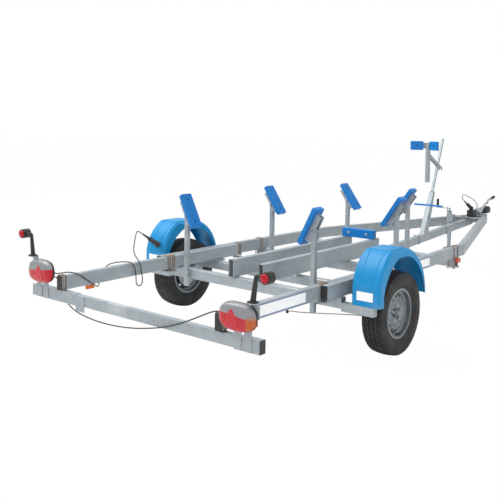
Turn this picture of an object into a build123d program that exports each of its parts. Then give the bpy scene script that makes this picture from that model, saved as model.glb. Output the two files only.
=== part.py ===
from build123d import *
import os
from math import atan2, cos, degrees, hypot, pi, radians, sin, tan

# Boat trailer in galvanised steel tube, millimetres: X forward, Y to the left, Z up from the floor.
# Places along the trailer are measured from the axle line and added to axle_x.
# The origin is on the floor under the middle of the overall length.

# Frame rails: a rear pair, and an outer front pair that overlaps it and closes into the drawbar
rail_top = 535.0
rail_height = 100.0
rail_width = 50.0
rail_wall = 4.0
rear_rail_y = 745.0
rear_rail_tail = -1522.0
rear_rail_nose = 420.0
rail_gap = 5.0
front_rail_tail = -519.0
taper_x = 510.0
knee_x = 1820.0
knee_y = 760.0
tip_x = 4230.0
tip_gap = 4.0
cap_thickness = 5.0

# Clip of the brake cable, by its front face
brake_clip_x = -884.0
brake_clip_y = -765.0
brake_clip_length = 12.0

# Block that the nose plug is parked in
holder_x = 3780.0
holder_y = -42.0
holder_length = 110.0
holder_width = 84.0
holder_height = 80.0

# Crossbeams under the rails, and the two keel rails on top of them
beam_height = 80.0
beam_depth = 60.0
beam_wall = 4.0
beam_overhang = 15.0
rear_beam_x = -369.0
mid_beam_x = 783.0
front_beam_x = 1594.0
keel_rail_y = 146.0
keel_rail_width = 50.0
keel_rail_height = 140.0
keel_rail_wall = 4.0
keel_rail_tail = -391.0
keel_rail_nose = 1330.0

# Spine from the front crossbeam up into the drawbar
spine_width = 50.0
spine_height = 80.0
spine_wall = 4.0
spine_rear_top = 415.0
spine_nose_top = 530.0
spine_nose_x = 3850.0

# Keel pad on its angle bracket
keel_pad_x = 1220.0
keel_pad_length = 330.0
keel_pad_height = 82.0
keel_pad_thickness = 45.0
keel_bracket_plate = 6.0
keel_bracket_foot = 60.0

# Side posts with their tilting pads
post_size = 35.0
post_wall = 3.0
post_top = 890.0
post_foot = 300.0
rear_post_y = 619.0
mid_post_y = 646.0
front_post_y = 328.0
rear_pad_tilt = 27.0
mid_pad_tilt = 34.0
front_pad_tilt = 36.0
pad_length = 290.0
pad_width = 112.0
pad_thickness = 30.0
pad_corner = 10.0
pad_hole_pitch = 190.0
pad_hole_radius = 8.0
channel_length = 210.0
channel_wall = 4.0
channel_depth = 42.0
channel_stand_off = 19.0
pivot_radius = 6.0
pivot_drop = 22.0
pin_clearance = 0.3
seat_gap = 0.3

# Axle: torsion tube, trailing arms, backplates and stubs
axle_tube_x = 110.0
axle_tube_z = 385.0
axle_tube_size = 70.0
axle_tube_wall = 6.0
axle_tube_half = 915.0
arm_thickness = 30.0
arm_end_radius = 42.0
spindle_radius = 30.0
stub_radius = 20.0
backplate_radius = 112.0
backplate_thickness = 6.0
backplate_gap = 5.0
axle_pad_length = 120.0
axle_pad_spread = 20.0

# Wheels
tyre_radius = 297.0
tyre_width = 167.0
wheel_y = 1032.0
tyre_crown = 8.0
tyre_shoulder = 10.0
bead_radius = 165.0
bead_clearance = 1.0
flange_radius = 178.0
rim_width = 126.0
rim_well_radius = 146.0
rim_wall = 4.0
rim_offset = 25.0
disc_wall = 5.0
vent_count = 15
vent_radius = 9.0
vent_circle = 120.0
stud_count = 5
stud_circle = 56.0
stud_radius = 6.0
nave_radius = 30.0
drum_radius = 110.0
drum_width = 60.0
hub_cap_length = 28.0

# Mudguards: outer line of the skin at the wheel, as x from the axle and height
mudguard_line = [  # x, z: foot, end of the upright, through, crown, crown, through, join, through, foot
    (-366.0, 400.0),
    (-366.0, 525.0),
    (-310.0, 665.0),
    (-200.0, 764.0),
    (10.0, 764.0),
    (165.0, 708.0),
    (268.0, 600.0),
    (308.0, 505.0),
    (322.0, 400.0),
]
mudguard_opening = [  # the same stations along the edge of the wheel opening
    (-305.0, 400.0),
    (-308.0, 465.0),
    (-232.0, 620.0),
    (-96.0, 710.0),
    (6.0, 710.0),
    (132.0, 666.0),
    (222.0, 585.0),
    (274.0, 500.0),
    (302.0, 400.0),
]
mudguard_inner_y = 915.0
mudguard_outer_y = 1137.0
mudguard_skin = 4.0
crown_panel_height = 6.0
crown_panel_inset = 22.0
mudguard_edge = 16.0
mudguard_bar_height = 60.0
mudguard_bar_depth = 50.0
mudguard_bar_end = 1092.0
mudguard_stay_width = 36.0
mudguard_stay_plate = 5.0

# Lighting beam across the tail
light_beam_half = 1050.0
light_beam_height = 70.0
light_beam_depth = 40.0
light_beam_wall = 3.0
left_sleeve_tail = 560.0
right_sleeve_tail = 900.0
splice_width = 90.0
splice_drop = 108.0
sleeve_wall = 4.0
lamp_y = 915.0
lamp_z = 552.0
lamp_width = 255.0
lamp_height = 165.0
lamp_depth = 62.0
lamp_base_depth = 16.0
lamp_plate = 4.0
lamp_plate_width = 178.0
lamp_plate_height = 132.0
lamp_leg_y = 895.0
lamp_leg_pitch = 75.0
lamp_leg_width = 54.0
lamp_gland_radius = 6.5
lamp_gland_length = 15.0
plate_gland_x = -1512.0
plate_gland_y = 850.0
plate_gland_z = 510.0
shelf_rise = 12.0
shelf_depth = 50.0
shelf_width = 60.0
marker_base_y = 1020.0
marker_arm_height = 150.0
marker_reach = 100.0
marker_lean = 20.0
marker_head_radius = 33.0
marker_head_length = 56.0
marker_foot = (46.0, 56.0)
marker_foot_height = 8.0
marker_arm_foot = (15.0, 18.0)
marker_arm_head = (11.0, 12.0)

rear_marker_x = -1240.0
guard_marker_y = 932.0
guard_marker_top = 432.0
side_marker_length = 70.0
side_marker_depth = 26.0
side_marker_height = 38.0

# Bow post, bow bar and bow pads
bow_foot_x = 2540.0
bow_foot_length = 110.0
bow_post_head_x = 2752.0
bow_post_head_z = 905.0
bow_post_head_length = 44.0
bow_post_width = 50.0
bow_rod_x = 2690.0
bow_rod_z = 763.0
bow_rod_radius = 10.0
bow_rod_half = 165.0
bow_bar_top_x = 3012.0
bow_bar_top_z = 1480.0
bow_bar_size = 25.0
bow_tube_x = 2650.0
bow_tube_foot = 1015.0
bow_tube_top = 1440.0
bow_tube_radius = 26.0
bow_tube_wall = 3.0
bow_pad_z = 1408.0
bow_pad_height = 95.0
bow_pad_length = 135.0
bow_pad_thickness = 26.0
bow_pad_angle = 32.0
bow_pad_reach = 118.0
bow_wing_overhang = 80.0
bow_wing_height = 60.0
bow_wing_plate = 5.0
bow_arm_root_z = 1330.0
bow_arm_end_x = 2983.0
bow_arm_fall = 27.0
bow_arm_height = 34.0
bow_arm_wall = 4.0

# Coupling, handbrake and jockey wheel
coupling_tail_x = 3870.0
coupling_nose_x = 4392.0
coupling_plate = 8.0
rear_plate_x = 3720.0
rear_plate_length = 90.0
nose_plate_x = 4050.0
nose_plate_length = 120.0
tongue_width = 90.0
drawtube_radius = 25.0
drawtube_rise = 40.0
housing_length = 260.0
housing_foot = 12.0
barrel_tail_x = 3890.0
barrel_length = 230.0
barrel_half = 38.0
barrel_height = 66.0
barrel_corner = 26.0
lead_gland_x = 4060.0
lead_gland_y = 8.0
lead_gland_top = 630.0
lead_gland_radius = 8.0
bellows_folds = 6
bellows_radius = 36.0
jockey_x = 3412.0
jockey_y = 76.0
jockey_tube_radius = 24.0
jockey_tube_wall = 3.0
jockey_tube_foot = 312.0
jockey_tube_top = 628.0
jockey_cap = 10.0
jockey_leg_top = 500.0
jockey_clamp_foot = 515.0
jockey_clamp_height = 80.0
jockey_clamp_wall = 9.0
jockey_clamp_width = 66.0
jockey_clamp_plate = 8.0
crank_reach = 150.0
crank_thickness = 8.0
crank_shaft_radius = 9.0
crank_shaft_height = 30.0
crank_knob_radius = 13.0
crank_knob_length = 95.0
fork_gap = 12.0
fork_plate = 6.0
fork_collar = 6.0
fork_cheek_y = 36.0
jockey_pin_radius = 8.0
jockey_wheel_radius = 100.0
jockey_wheel_width = 50.0
jockey_trail = 45.0
coupling_head_length = 150.0
coupling_head_drop = 46.0
socket_radius = 25.5
socket_depth = 46.0
socket_setback = 60.0
lever_setback = 150.0
lever_bend = (238.0, 125.0)
lever_tip = (437.0, 152.0)
lever_plate = 8.0
lever_half_width = 13.0
lever_hub_radius = 24.0
lever_pin_radius = 8.0
grip_length = 120.0
grip_half_width = 13.0
grip_half_height = 17.0

lever_pivot_x = coupling_tail_x + lever_setback
grip_slope = atan2(lever_tip[1] - lever_bend[1], lever_tip[0] - lever_bend[0])
nose_reach = lever_pivot_x + lever_tip[0] + grip_half_height * sin(grip_slope)
tail_reach = sleeve_wall + lamp_plate + lamp_depth - rear_rail_tail
axle_x = (tail_reach - nose_reach) / 2
rail_bottom = rail_top - rail_height
front_rail_y = rear_rail_y + rail_width + rail_gap
beam_bottom = rail_bottom - beam_height
sides = (("left", 1), ("right", -1))


def save(piece, node):
    piece.part.label = node
    export_step(piece.part, f"parts/{node}.step")


def beside(line, distance):
    # the line of points moved sideways, to the left of its own direction, with mitred corners
    moved = []
    for index, (px, py) in enumerate(line):
        before = line[max(index - 1, 0)]
        after = line[min(index + 1, len(line) - 1)]
        heading_in = atan2(py - before[1], px - before[0]) if index else None
        heading_out = atan2(after[1] - py, after[0] - px) if index < len(line) - 1 else None
        if heading_in is None:
            heading_in = heading_out
        if heading_out is None:
            heading_out = heading_in
        middle = (heading_in + heading_out) / 2
        stretch = distance / cos((heading_out - heading_in) / 2)
        moved.append((px - stretch * sin(middle), py + stretch * cos(middle)))
    return moved


def strip(line, half_width):
    return beside(line, half_width) + list(reversed(beside(line, -half_width)))


def cross_tube(x_rear, z_bottom, depth, height, half_length, wall):
    with BuildPart() as tube:
        with BuildSketch(Plane.XZ) as section:
            with Locations((axle_x + x_rear + depth / 2, z_bottom + height / 2)):
                RectangleRounded(depth, height, 2 * wall)
                Rectangle(depth - 2 * wall, height - 2 * wall, mode=Mode.SUBTRACT)
        extrude(amount=half_length, both=True)
    return tube


os.makedirs("parts", exist_ok=True)

# Rails
front_rail_line = [
    (axle_x + front_rail_tail, front_rail_y),
    (axle_x + taper_x, front_rail_y),
    (axle_x + knee_x, knee_y),
    (axle_x + tip_x, rail_width / 2 + tip_gap),
]

for side_name, side in sides:
    with BuildPart() as rear_rail:
        with BuildSketch(Plane.YZ.offset(axle_x + rear_rail_tail)) as section:
            with Locations((side * rear_rail_y, rail_top - rail_height / 2)):
                RectangleRounded(rail_width, rail_height, 2 * rail_wall)
                Rectangle(rail_width - 2 * rail_wall, rail_height - 2 * rail_wall, mode=Mode.SUBTRACT)
        extrude(amount=rear_rail_nose - rear_rail_tail)
    save(rear_rail, f"rear_rail_{side_name}")

    line = [(px, side * py) for px, py in front_rail_line]
    with BuildPart() as front_rail:
        with BuildSketch(Plane.XY.offset(rail_bottom)) as outline:
            with BuildLine():
                Polyline(*strip(line, rail_width / 2), close=True)
            make_face()
        extrude(amount=rail_height)
        with BuildSketch(Plane.XY.offset(rail_bottom + rail_wall)) as hollow:
            with BuildLine():
                Polyline(*strip(line, rail_width / 2 - rail_wall), close=True)
            make_face()
        extrude(amount=rail_height - 2 * rail_wall, mode=Mode.SUBTRACT)
    save(front_rail, f"front_rail_{side_name}")

# Crossbeams
front_rail_outer = front_rail_y + rail_width / 2
crossbeams = [  # name, rear face, half length
    ("crossbeam_rear", rear_beam_x, front_rail_outer + beam_overhang),
    ("crossbeam_mid", mid_beam_x, front_rail_outer + beam_overhang),
    ("crossbeam_front", front_beam_x, knee_y + rail_width / 2 + beam_overhang),
]
for beam_name, beam_x, half_length in crossbeams:
    crossbeam = cross_tube(beam_x, beam_bottom, beam_depth, beam_height, half_length, beam_wall)
    save(crossbeam, beam_name)

# Keel rails
for side_name, side in sides:
    with BuildPart() as keel_rail:
        with BuildSketch(Plane.YZ.offset(axle_x + keel_rail_tail)) as section:
            with Locations((side * keel_rail_y, rail_bottom + keel_rail_height / 2)):
                RectangleRounded(keel_rail_width, keel_rail_height, 2 * keel_rail_wall)
                Rectangle(
                    keel_rail_width - 2 * keel_rail_wall,
                    keel_rail_height - 2 * keel_rail_wall,
                    mode=Mode.SUBTRACT,
                )
        extrude(amount=keel_rail_nose - keel_rail_tail)
    save(keel_rail, f"keel_rail_{side_name}")

# Keel pad and its angle bracket, which stands on both keel rails
keel_top = rail_bottom + keel_rail_height
bracket_half = keel_rail_y + keel_rail_width / 2
with BuildPart() as keel_bracket:
    with BuildSketch(Plane.XZ) as section:
        foot_x = axle_x + keel_pad_x + keel_pad_thickness
        with BuildLine():
            Polyline(
                (foot_x, keel_top),
                (foot_x + keel_bracket_foot, keel_top),
                (foot_x + keel_bracket_foot, keel_top + keel_bracket_plate),
                (foot_x + keel_bracket_plate, keel_top + keel_bracket_plate),
                (foot_x + keel_bracket_plate, keel_top + keel_pad_height),
                (foot_x, keel_top + keel_pad_height),
                close=True,
            )
        make_face()
    extrude(amount=bracket_half, both=True)
save(keel_bracket, "keel_pad_bracket")

with BuildPart() as keel_pad:
    with BuildSketch(Plane.YZ.offset(axle_x + keel_pad_x)) as face:
        with Locations((0, keel_top + keel_pad_height / 2)):
            RectangleRounded(keel_pad_length, keel_pad_height, pad_corner)
    extrude(amount=keel_pad_thickness)
    back_face = keel_pad.faces().sort_by(Axis.X)[0]
    chamfer(back_face.edges(), 5)
save(keel_pad, "keel_pad")

# Spine
spine_rear_x = front_beam_x + beam_depth
spine_slope = (spine_nose_top - spine_rear_top) / (spine_nose_x - spine_rear_x)


def spine_top_at(x):
    return spine_rear_top + spine_slope * (x - spine_rear_x)


def spine_outline(inset):
    ends = (spine_rear_x, spine_nose_x)
    upper = [(axle_x + px, spine_top_at(px) - inset) for px in ends]
    lower = [(axle_x + px, spine_top_at(px) - spine_height + inset) for px in reversed(ends)]
    return upper + lower


with BuildPart() as spine:
    with BuildSketch(Plane.XZ) as side_view:
        with BuildLine():
            Polyline(*spine_outline(0), close=True)
        make_face()
    extrude(amount=spine_width / 2, both=True)
    with BuildSketch(Plane.XZ) as hollow:
        with BuildLine():
            Polyline(*spine_outline(spine_wall), close=True)
        make_face()
    extrude(amount=spine_width / 2 - spine_wall, both=True, mode=Mode.SUBTRACT)
save(spine, "spine_beam")

# Posts, the channels that straddle their heads, and the blue pads
post_rows = [  # name, crossbeam face, distance from the middle, tilt from upright
    ("rear", rear_beam_x, rear_post_y, rear_pad_tilt),
    ("mid", mid_beam_x, mid_post_y, mid_pad_tilt),
    ("front", front_beam_x, front_post_y, front_pad_tilt),
]
pivot_z = post_top - pivot_drop


def pad_plane(beam_x, post_y, tilt, side):
    lean = radians(tilt)
    return Plane(
        origin=(axle_x + beam_x - post_size / 2, side * post_y, post_top),
        x_dir=(1, 0, 0),
        z_dir=(0, -side * cos(lean), sin(lean)),
    )


for row_name, beam_x, post_y, tilt in post_rows:
    post_x = axle_x + beam_x - post_size / 2
    with BuildPart() as posts:
        with BuildSketch(Plane.XY.offset(post_foot)) as section:
            with GridLocations(0, 2 * post_y, 1, 2):
                with Locations((post_x, 0)):
                    RectangleRounded(post_size, post_size, post_wall)
                    Rectangle(post_size - 2 * post_wall, post_size - 2 * post_wall, mode=Mode.SUBTRACT)
        extrude(amount=post_top - post_foot)
        with BuildSketch(Plane.YZ.offset(post_x)) as pivot_bores:
            with Locations((-post_y, pivot_z), (post_y, pivot_z)):
                Circle(pivot_radius + pin_clearance)
        extrude(amount=post_size, both=True, mode=Mode.SUBTRACT)
    save(posts, f"posts_{row_name}")

    for side_name, side in sides:
        with BuildPart() as pad:
            face_plane = pad_plane(beam_x, post_y, tilt, side).offset(channel_stand_off + channel_wall)
            with BuildSketch(face_plane) as face:
                RectangleRounded(pad_width, pad_length, pad_corner)
                with GridLocations(0, pad_hole_pitch, 1, 2):
                    Circle(pad_hole_radius, mode=Mode.SUBTRACT)
            extrude(amount=pad_thickness)
        save(pad, f"pad_{row_name}_{side_name}")

channel_half = post_size / 2 + pin_clearance + channel_wall
with BuildPart() as channels:
    for row_name, beam_x, post_y, tilt in post_rows:
        for side_name, side in sides:
            web_plane = pad_plane(beam_x, post_y, tilt, side).offset(channel_stand_off)
            with BuildSketch(web_plane) as web:
                Rectangle(2 * channel_half, channel_length)
            extrude(amount=channel_wall)
            with BuildSketch(web_plane) as flanges:
                with GridLocations(2 * channel_half - channel_wall, 0, 2, 1):
                    Rectangle(channel_wall, channel_length)
            extrude(amount=-channel_depth)
            with BuildSketch(Plane.YZ.offset(axle_x + beam_x - post_size / 2)) as pivot_pin:
                with Locations((side * post_y, pivot_z)):
                    Circle(pivot_radius)
            extrude(amount=channel_half + 6, both=True)
save(channels, "pad_channels")

# Axle
arm_inner = axle_tube_half
arm_outer = arm_inner + arm_thickness
hub_face = wheel_y + rim_offset
drum_inner = hub_face - drum_width
backplate_outer = drum_inner - backplate_gap
backplate_inner = backplate_outer - backplate_thickness
with BuildPart() as axle:
    with BuildSketch(Plane.XZ) as section:
        with Locations((axle_x + axle_tube_x, axle_tube_z)):
            RectangleRounded(axle_tube_size, axle_tube_size, 2 * axle_tube_wall)
            Rectangle(
                axle_tube_size - 2 * axle_tube_wall,
                axle_tube_size - 2 * axle_tube_wall,
                mode=Mode.SUBTRACT,
            )
    extrude(amount=axle_tube_half, both=True)
    pad_bottom = axle_tube_z + axle_tube_size / 2
    for side_name, side in sides:
        outer_edge = front_rail_outer + axle_pad_spread
        inner_edge = rear_rail_y - rail_width / 2 - axle_pad_spread
        with BuildSketch(Plane.XY.offset(pad_bottom)) as axle_pad:
            with Locations((axle_x + axle_tube_x, side * (outer_edge + inner_edge) / 2)):
                Rectangle(axle_pad_length, outer_edge - inner_edge)
        extrude(amount=rail_bottom - pad_bottom)
        arm_plane = Plane(
            origin=(0, side * arm_inner, 0), x_dir=(-side, 0, 0), z_dir=(0, side, 0)
        )
        arm_run = hypot(axle_tube_x, axle_tube_z - tyre_radius)
        arm_angle = degrees(atan2(axle_tube_z - tyre_radius, -side * axle_tube_x))
        arm_middle = (-side * (axle_x + axle_tube_x / 2), (axle_tube_z + tyre_radius) / 2)
        with BuildSketch(arm_plane) as arm:
            with Locations(Location((arm_middle[0], arm_middle[1], 0), (0, 0, arm_angle))):
                SlotCenterToCenter(arm_run, 2 * arm_end_radius)
        extrude(amount=arm_thickness)
        with BuildSketch(arm_plane.offset(arm_thickness)) as spindle:
            with Locations((-side * axle_x, tyre_radius)):
                Circle(spindle_radius)
        extrude(amount=backplate_inner - arm_outer)
        with BuildSketch(arm_plane.offset(backplate_inner - arm_inner)) as backplate:
            with Locations((-side * axle_x, tyre_radius)):
                Circle(backplate_radius)
        extrude(amount=backplate_thickness)
        with BuildSketch(arm_plane.offset(backplate_outer - arm_inner)) as stub:
            with Locations((-side * axle_x, tyre_radius)):
                Circle(stub_radius)
        extrude(amount=drum_width)
save(axle, "axle")

# Wheels, drawn as sections of radius against distance from the wheel's middle plane
for side_name, side in sides:
    wheel_plane = Plane(
        origin=(axle_x, side * wheel_y, tyre_radius), x_dir=(1, 0, 0), z_dir=(0, side, 0)
    )
    # section plane: its x is the radius, its y the way outboard
    section_plane = Plane(
        origin=(axle_x, side * wheel_y, tyre_radius), x_dir=(1, 0, 0), z_dir=(0, 0, side)
    )
    spin_axis = Axis((axle_x, side * wheel_y, tyre_radius), (0, side, 0))

    with BuildPart() as tyre:
        with BuildSketch(section_plane) as section:
            with BuildLine():
                half_tyre = tyre_width / 2
                half_rim = rim_width / 2
                bead_y = half_rim - rim_wall - bead_clearance
                shoulder = (tyre_radius - tyre_crown, half_tyre - tyre_shoulder)
                Line((bead_radius, -bead_y), (bead_radius, bead_y))
                Line((bead_radius, bead_y), (flange_radius + 1, bead_y))
                Spline((flange_radius + 1, bead_y), (bead_radius + 60, half_tyre), shoulder)
                ThreePointArc(shoulder, (tyre_radius, 0), (shoulder[0], -shoulder[1]))
                Spline(
                    (shoulder[0], -shoulder[1]), (bead_radius + 60, -half_tyre), (flange_radius + 1, -bead_y)
                )
                Line((flange_radius + 1, -bead_y), (bead_radius, -bead_y))
            make_face()
        revolve(axis=spin_axis)
    save(tyre, f"tyre_{side_name}")

    with BuildPart() as rim:
        with BuildSketch(section_plane) as section:
            with BuildLine():
                Polyline(
                    (flange_radius, half_rim),
                    (flange_radius, half_rim - rim_wall),
                    (bead_radius - pin_clearance, half_rim - rim_wall),
                    (bead_radius - pin_clearance, half_rim - 34),
                    (rim_well_radius, half_rim - 46),
                    (rim_well_radius, -half_rim + 46),
                    (bead_radius - pin_clearance, -half_rim + 34),
                    (bead_radius - pin_clearance, -half_rim + rim_wall),
                    (flange_radius, -half_rim + rim_wall),
                    (flange_radius, -half_rim),
                    (bead_radius - rim_wall, -half_rim),
                    (bead_radius - rim_wall, -half_rim + 32),
                    (rim_well_radius - rim_wall, -half_rim + 44),
                    (rim_well_radius - rim_wall, half_rim - 44),
                    (bead_radius - rim_wall, half_rim - 32),
                    (bead_radius - rim_wall, half_rim),
                    close=True,
                )
            make_face()
            with BuildLine():
                Polyline(
                    (nave_radius, rim_offset),
                    (80, rim_offset),
                    (100, rim_offset + 14),
                    (122, rim_offset + 8),
                    (rim_well_radius - rim_wall, rim_offset - 8),
                    (rim_well_radius - rim_wall, rim_offset - 8 + disc_wall),
                    (122, rim_offset + 8 + disc_wall),
                    (100, rim_offset + 14 + disc_wall),
                    (80, rim_offset + disc_wall),
                    (nave_radius, rim_offset + disc_wall),
                    close=True,
                )
            make_face()
        revolve(axis=spin_axis)
        with BuildSketch(wheel_plane) as vents:
            with PolarLocations(vent_circle, vent_count):
                Circle(vent_radius)
            with PolarLocations(stud_circle, stud_count, start_angle=90):
                Circle(stud_radius + 1)
        extrude(amount=half_rim, mode=Mode.SUBTRACT)
    save(rim, f"rim_{side_name}")

    with BuildPart() as drum:
        with BuildSketch(wheel_plane.offset(rim_offset)) as outline:
            Circle(drum_radius)
        extrude(amount=-drum_width)
        with BuildSketch(wheel_plane.offset(rim_offset)) as nave:
            Circle(nave_radius - pin_clearance)
        extrude(amount=hub_cap_length)
        with BuildSketch(wheel_plane.offset(rim_offset)) as studs:
            with PolarLocations(stud_circle, stud_count, start_angle=90):
                Circle(stud_radius)
        extrude(amount=disc_wall + 12)
        with BuildSketch(wheel_plane.offset(rim_offset - drum_width)) as stub_bore:
            Circle(stub_radius + pin_clearance)
        extrude(amount=drum_width + hub_cap_length - 6, mode=Mode.SUBTRACT)
    save(drum, f"drum_{side_name}")

# Mudguards
guard_top = mudguard_line[0][1]


def guard_outline(table, side, inset, foot_drop):
    line = beside(table, -inset) if inset else list(table)
    line[0] = (line[0][0], table[0][1] - foot_drop)
    line[-1] = (line[-1][0], table[-1][1] - foot_drop)
    foot, low, through_rear, crown_rear, crown_front, through_front, join, through_low, toe = [
        (-side * (axle_x + px), pz) for px, pz in line
    ]
    Line(foot, low)
    ThreePointArc(low, through_rear, crown_rear)
    Line(crown_rear, crown_front)
    ThreePointArc(crown_front, through_front, join)
    ThreePointArc(join, through_low, toe)
    Line(toe, foot)


def over_foot(edge):
    return edge.center().Z > guard_top + 1


guard_width = mudguard_outer_y - mudguard_inner_y
for side_name, side in sides:
    guard_plane = Plane(origin=(0, side * mudguard_inner_y, 0), x_dir=(-side, 0, 0), z_dir=(0, side, 0))
    with BuildPart() as guard_hollow:
        with BuildSketch(guard_plane.offset(mudguard_skin)) as hollow:
            with BuildLine():
                guard_outline(mudguard_line, side, mudguard_skin, mudguard_skin)
            make_face()
        extrude(amount=guard_width - 2 * mudguard_skin)
        for hollow_side in guard_hollow.faces().filter_by(Axis.Y):
            chamfer(hollow_side.edges().filter_by(over_foot), mudguard_edge - 0.6 * mudguard_skin)

    with BuildPart() as mudguard:
        with BuildSketch(guard_plane) as skin:
            with BuildLine():
                guard_outline(mudguard_line, side, 0, 0)
            make_face()
        extrude(amount=guard_width)
        for guard_side in mudguard.faces().filter_by(Axis.Y):
            chamfer(guard_side.edges().filter_by(over_foot), mudguard_edge)
        crown_rear_x, crown_z = mudguard_line[3]
        crown_length = mudguard_line[4][0] - crown_rear_x
        crown_middle = (axle_x + crown_rear_x + crown_length / 2, side * (mudguard_inner_y + guard_width / 2))
        with BuildSketch(Plane.XY.offset(crown_z - mudguard_skin / 2)) as crown_panel:
            with Locations(crown_middle):
                Rectangle(crown_length, guard_width - 2 * crown_panel_inset)
        extrude(amount=crown_panel_height + mudguard_skin / 2, taper=30)
        add(guard_hollow.part, mode=Mode.SUBTRACT)
        with BuildSketch(guard_plane) as wheel_opening:
            with BuildLine():
                guard_outline(mudguard_opening, side, 0, mudguard_skin)
            make_face()
        extrude(amount=guard_width, mode=Mode.SUBTRACT)
    save(mudguard, f"mudguard_{side_name}")

# Bars that carry the mudguards: an outrigger on the rear crossbeam and a stay off the front rail
with BuildPart() as guard_bars:
    bar_top = mudguard_line[0][1]
    beam_end = front_rail_outer + beam_overhang
    for side_name, side in sides:
        with BuildSketch(Plane.XY.offset(bar_top - mudguard_bar_height)) as bar:
            bar_x = axle_x + rear_beam_x + mudguard_bar_depth / 2
            with Locations((bar_x, side * (beam_end + mudguard_bar_end) / 2)):
                Rectangle(mudguard_bar_depth, mudguard_bar_end - beam_end)
        extrude(amount=mudguard_bar_height)
        stay_x = axle_x + mudguard_opening[-1][0]
        with BuildSketch(Plane.XY.offset(rail_bottom)) as stay:
            with Locations((stay_x, side * (front_rail_outer + mudguard_inner_y) / 2)):
                Rectangle(mudguard_stay_width, mudguard_inner_y - front_rail_outer)
        extrude(amount=mudguard_stay_plate)
save(guard_bars, "mudguard_bars")

# Lighting beam
light_beam_bottom = rail_bottom - light_beam_height - sleeve_wall
with BuildPart() as light_beam:
    beam_middle_x = axle_x + rear_rail_tail + light_beam_depth / 2
    with BuildSketch(Plane.XZ) as section:
        with Locations((beam_middle_x, light_beam_bottom + light_beam_height / 2)):
            Rectangle(light_beam_depth, light_beam_height)
            Rectangle(
                light_beam_depth - 2 * light_beam_wall,
                light_beam_height - 2 * light_beam_wall,
                mode=Mode.SUBTRACT,
            )
    extrude(amount=light_beam_half, both=True)
    for side, sleeve_tail in ((1, left_sleeve_tail), (-1, right_sleeve_tail)):
        sleeve_plane = Plane(origin=(0, side * sleeve_tail, 0), x_dir=(-side, 0, 0), z_dir=(0, side, 0))
        with BuildSketch(sleeve_plane) as sleeve:
            with Locations((-side * beam_middle_x, light_beam_bottom + light_beam_height / 2)):
                Rectangle(light_beam_depth + 2 * sleeve_wall, light_beam_height + 2 * sleeve_wall)
                Rectangle(light_beam_depth, light_beam_height, mode=Mode.SUBTRACT)
        extrude(amount=light_beam_half - sleeve_tail)
    with BuildSketch(Plane.YZ.offset(beam_middle_x - light_beam_depth / 2)) as splice_plate:
        splice_y = left_sleeve_tail - splice_width / 2
        with Locations((splice_y, light_beam_bottom + light_beam_height - splice_drop / 2)):
            Rectangle(splice_width, splice_drop)
    extrude(amount=-sleeve_wall)
save(light_beam, "light_beam")

# Lamp plates with two legs on the sleeve, tail lamps and marker lamps
sleeve_rear_x = beam_middle_x - light_beam_depth / 2 - sleeve_wall
lamp_back_x = sleeve_rear_x - lamp_plate
leg_bottom = light_beam_bottom - sleeve_wall
leg_height = lamp_z - leg_bottom
shelf_top = lamp_z + lamp_height / 2 + shelf_rise
arm_x = sleeve_rear_x - shelf_depth / 2
with BuildPart() as lamp_brackets:
    for side_name, side in sides:
        with BuildSketch(Plane.YZ.offset(sleeve_rear_x)) as plate:
            with Locations((side * lamp_y, lamp_z)):
                Rectangle(lamp_plate_width, lamp_plate_height)
            for leg_y in (lamp_leg_y, lamp_leg_y + lamp_leg_pitch):
                with Locations((side * leg_y, leg_bottom + leg_height / 2)):
                    Rectangle(lamp_leg_width, leg_height)
            with Locations((side * marker_base_y, (lamp_z + shelf_top) / 2)):
                Rectangle(shelf_width, shelf_top - lamp_z)
        extrude(amount=-lamp_plate)
        with BuildSketch(Plane.XY.offset(shelf_top - lamp_plate)) as shelf:
            with Locations((arm_x, side * marker_base_y)):
                Rectangle(shelf_depth, shelf_width)
        extrude(amount=lamp_plate)
    with BuildSketch(Plane.YZ.offset(sleeve_rear_x)) as cable_gland:
        with Locations((plate_gland_y, plate_gland_z)):
            Circle(lamp_gland_radius)
    extrude(amount=axle_x + plate_gland_x - sleeve_rear_x)
save(lamp_brackets, "lamp_brackets")

with BuildPart() as tail_lamps:
    for side_name, side in sides:
        with BuildSketch(Plane.YZ.offset(lamp_back_x)) as base:
            with Locations((side * lamp_y, lamp_z)):
                RectangleRounded(lamp_width - 10, lamp_height - 10, lamp_height / 2 - 10)
        extrude(amount=-lamp_base_depth)
        with BuildSketch(Plane.YZ.offset(lamp_back_x - lamp_base_depth)) as lens_foot:
            with Locations((side * lamp_y, lamp_z)):
                RectangleRounded(lamp_width, lamp_height, lamp_height / 2 - 4)
        extrude(amount=-(lamp_depth - lamp_base_depth), taper=12)
        gland_y = lamp_y - lamp_width / 2 + 5
        with BuildSketch(Plane.XZ.offset(-side * gland_y)) as gland:
            with Locations((lamp_back_x - lamp_base_depth / 2, lamp_z)):
                Circle(lamp_gland_radius)
        extrude(amount=side * lamp_gland_length)
save(tail_lamps, "tail_lamps")

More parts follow.
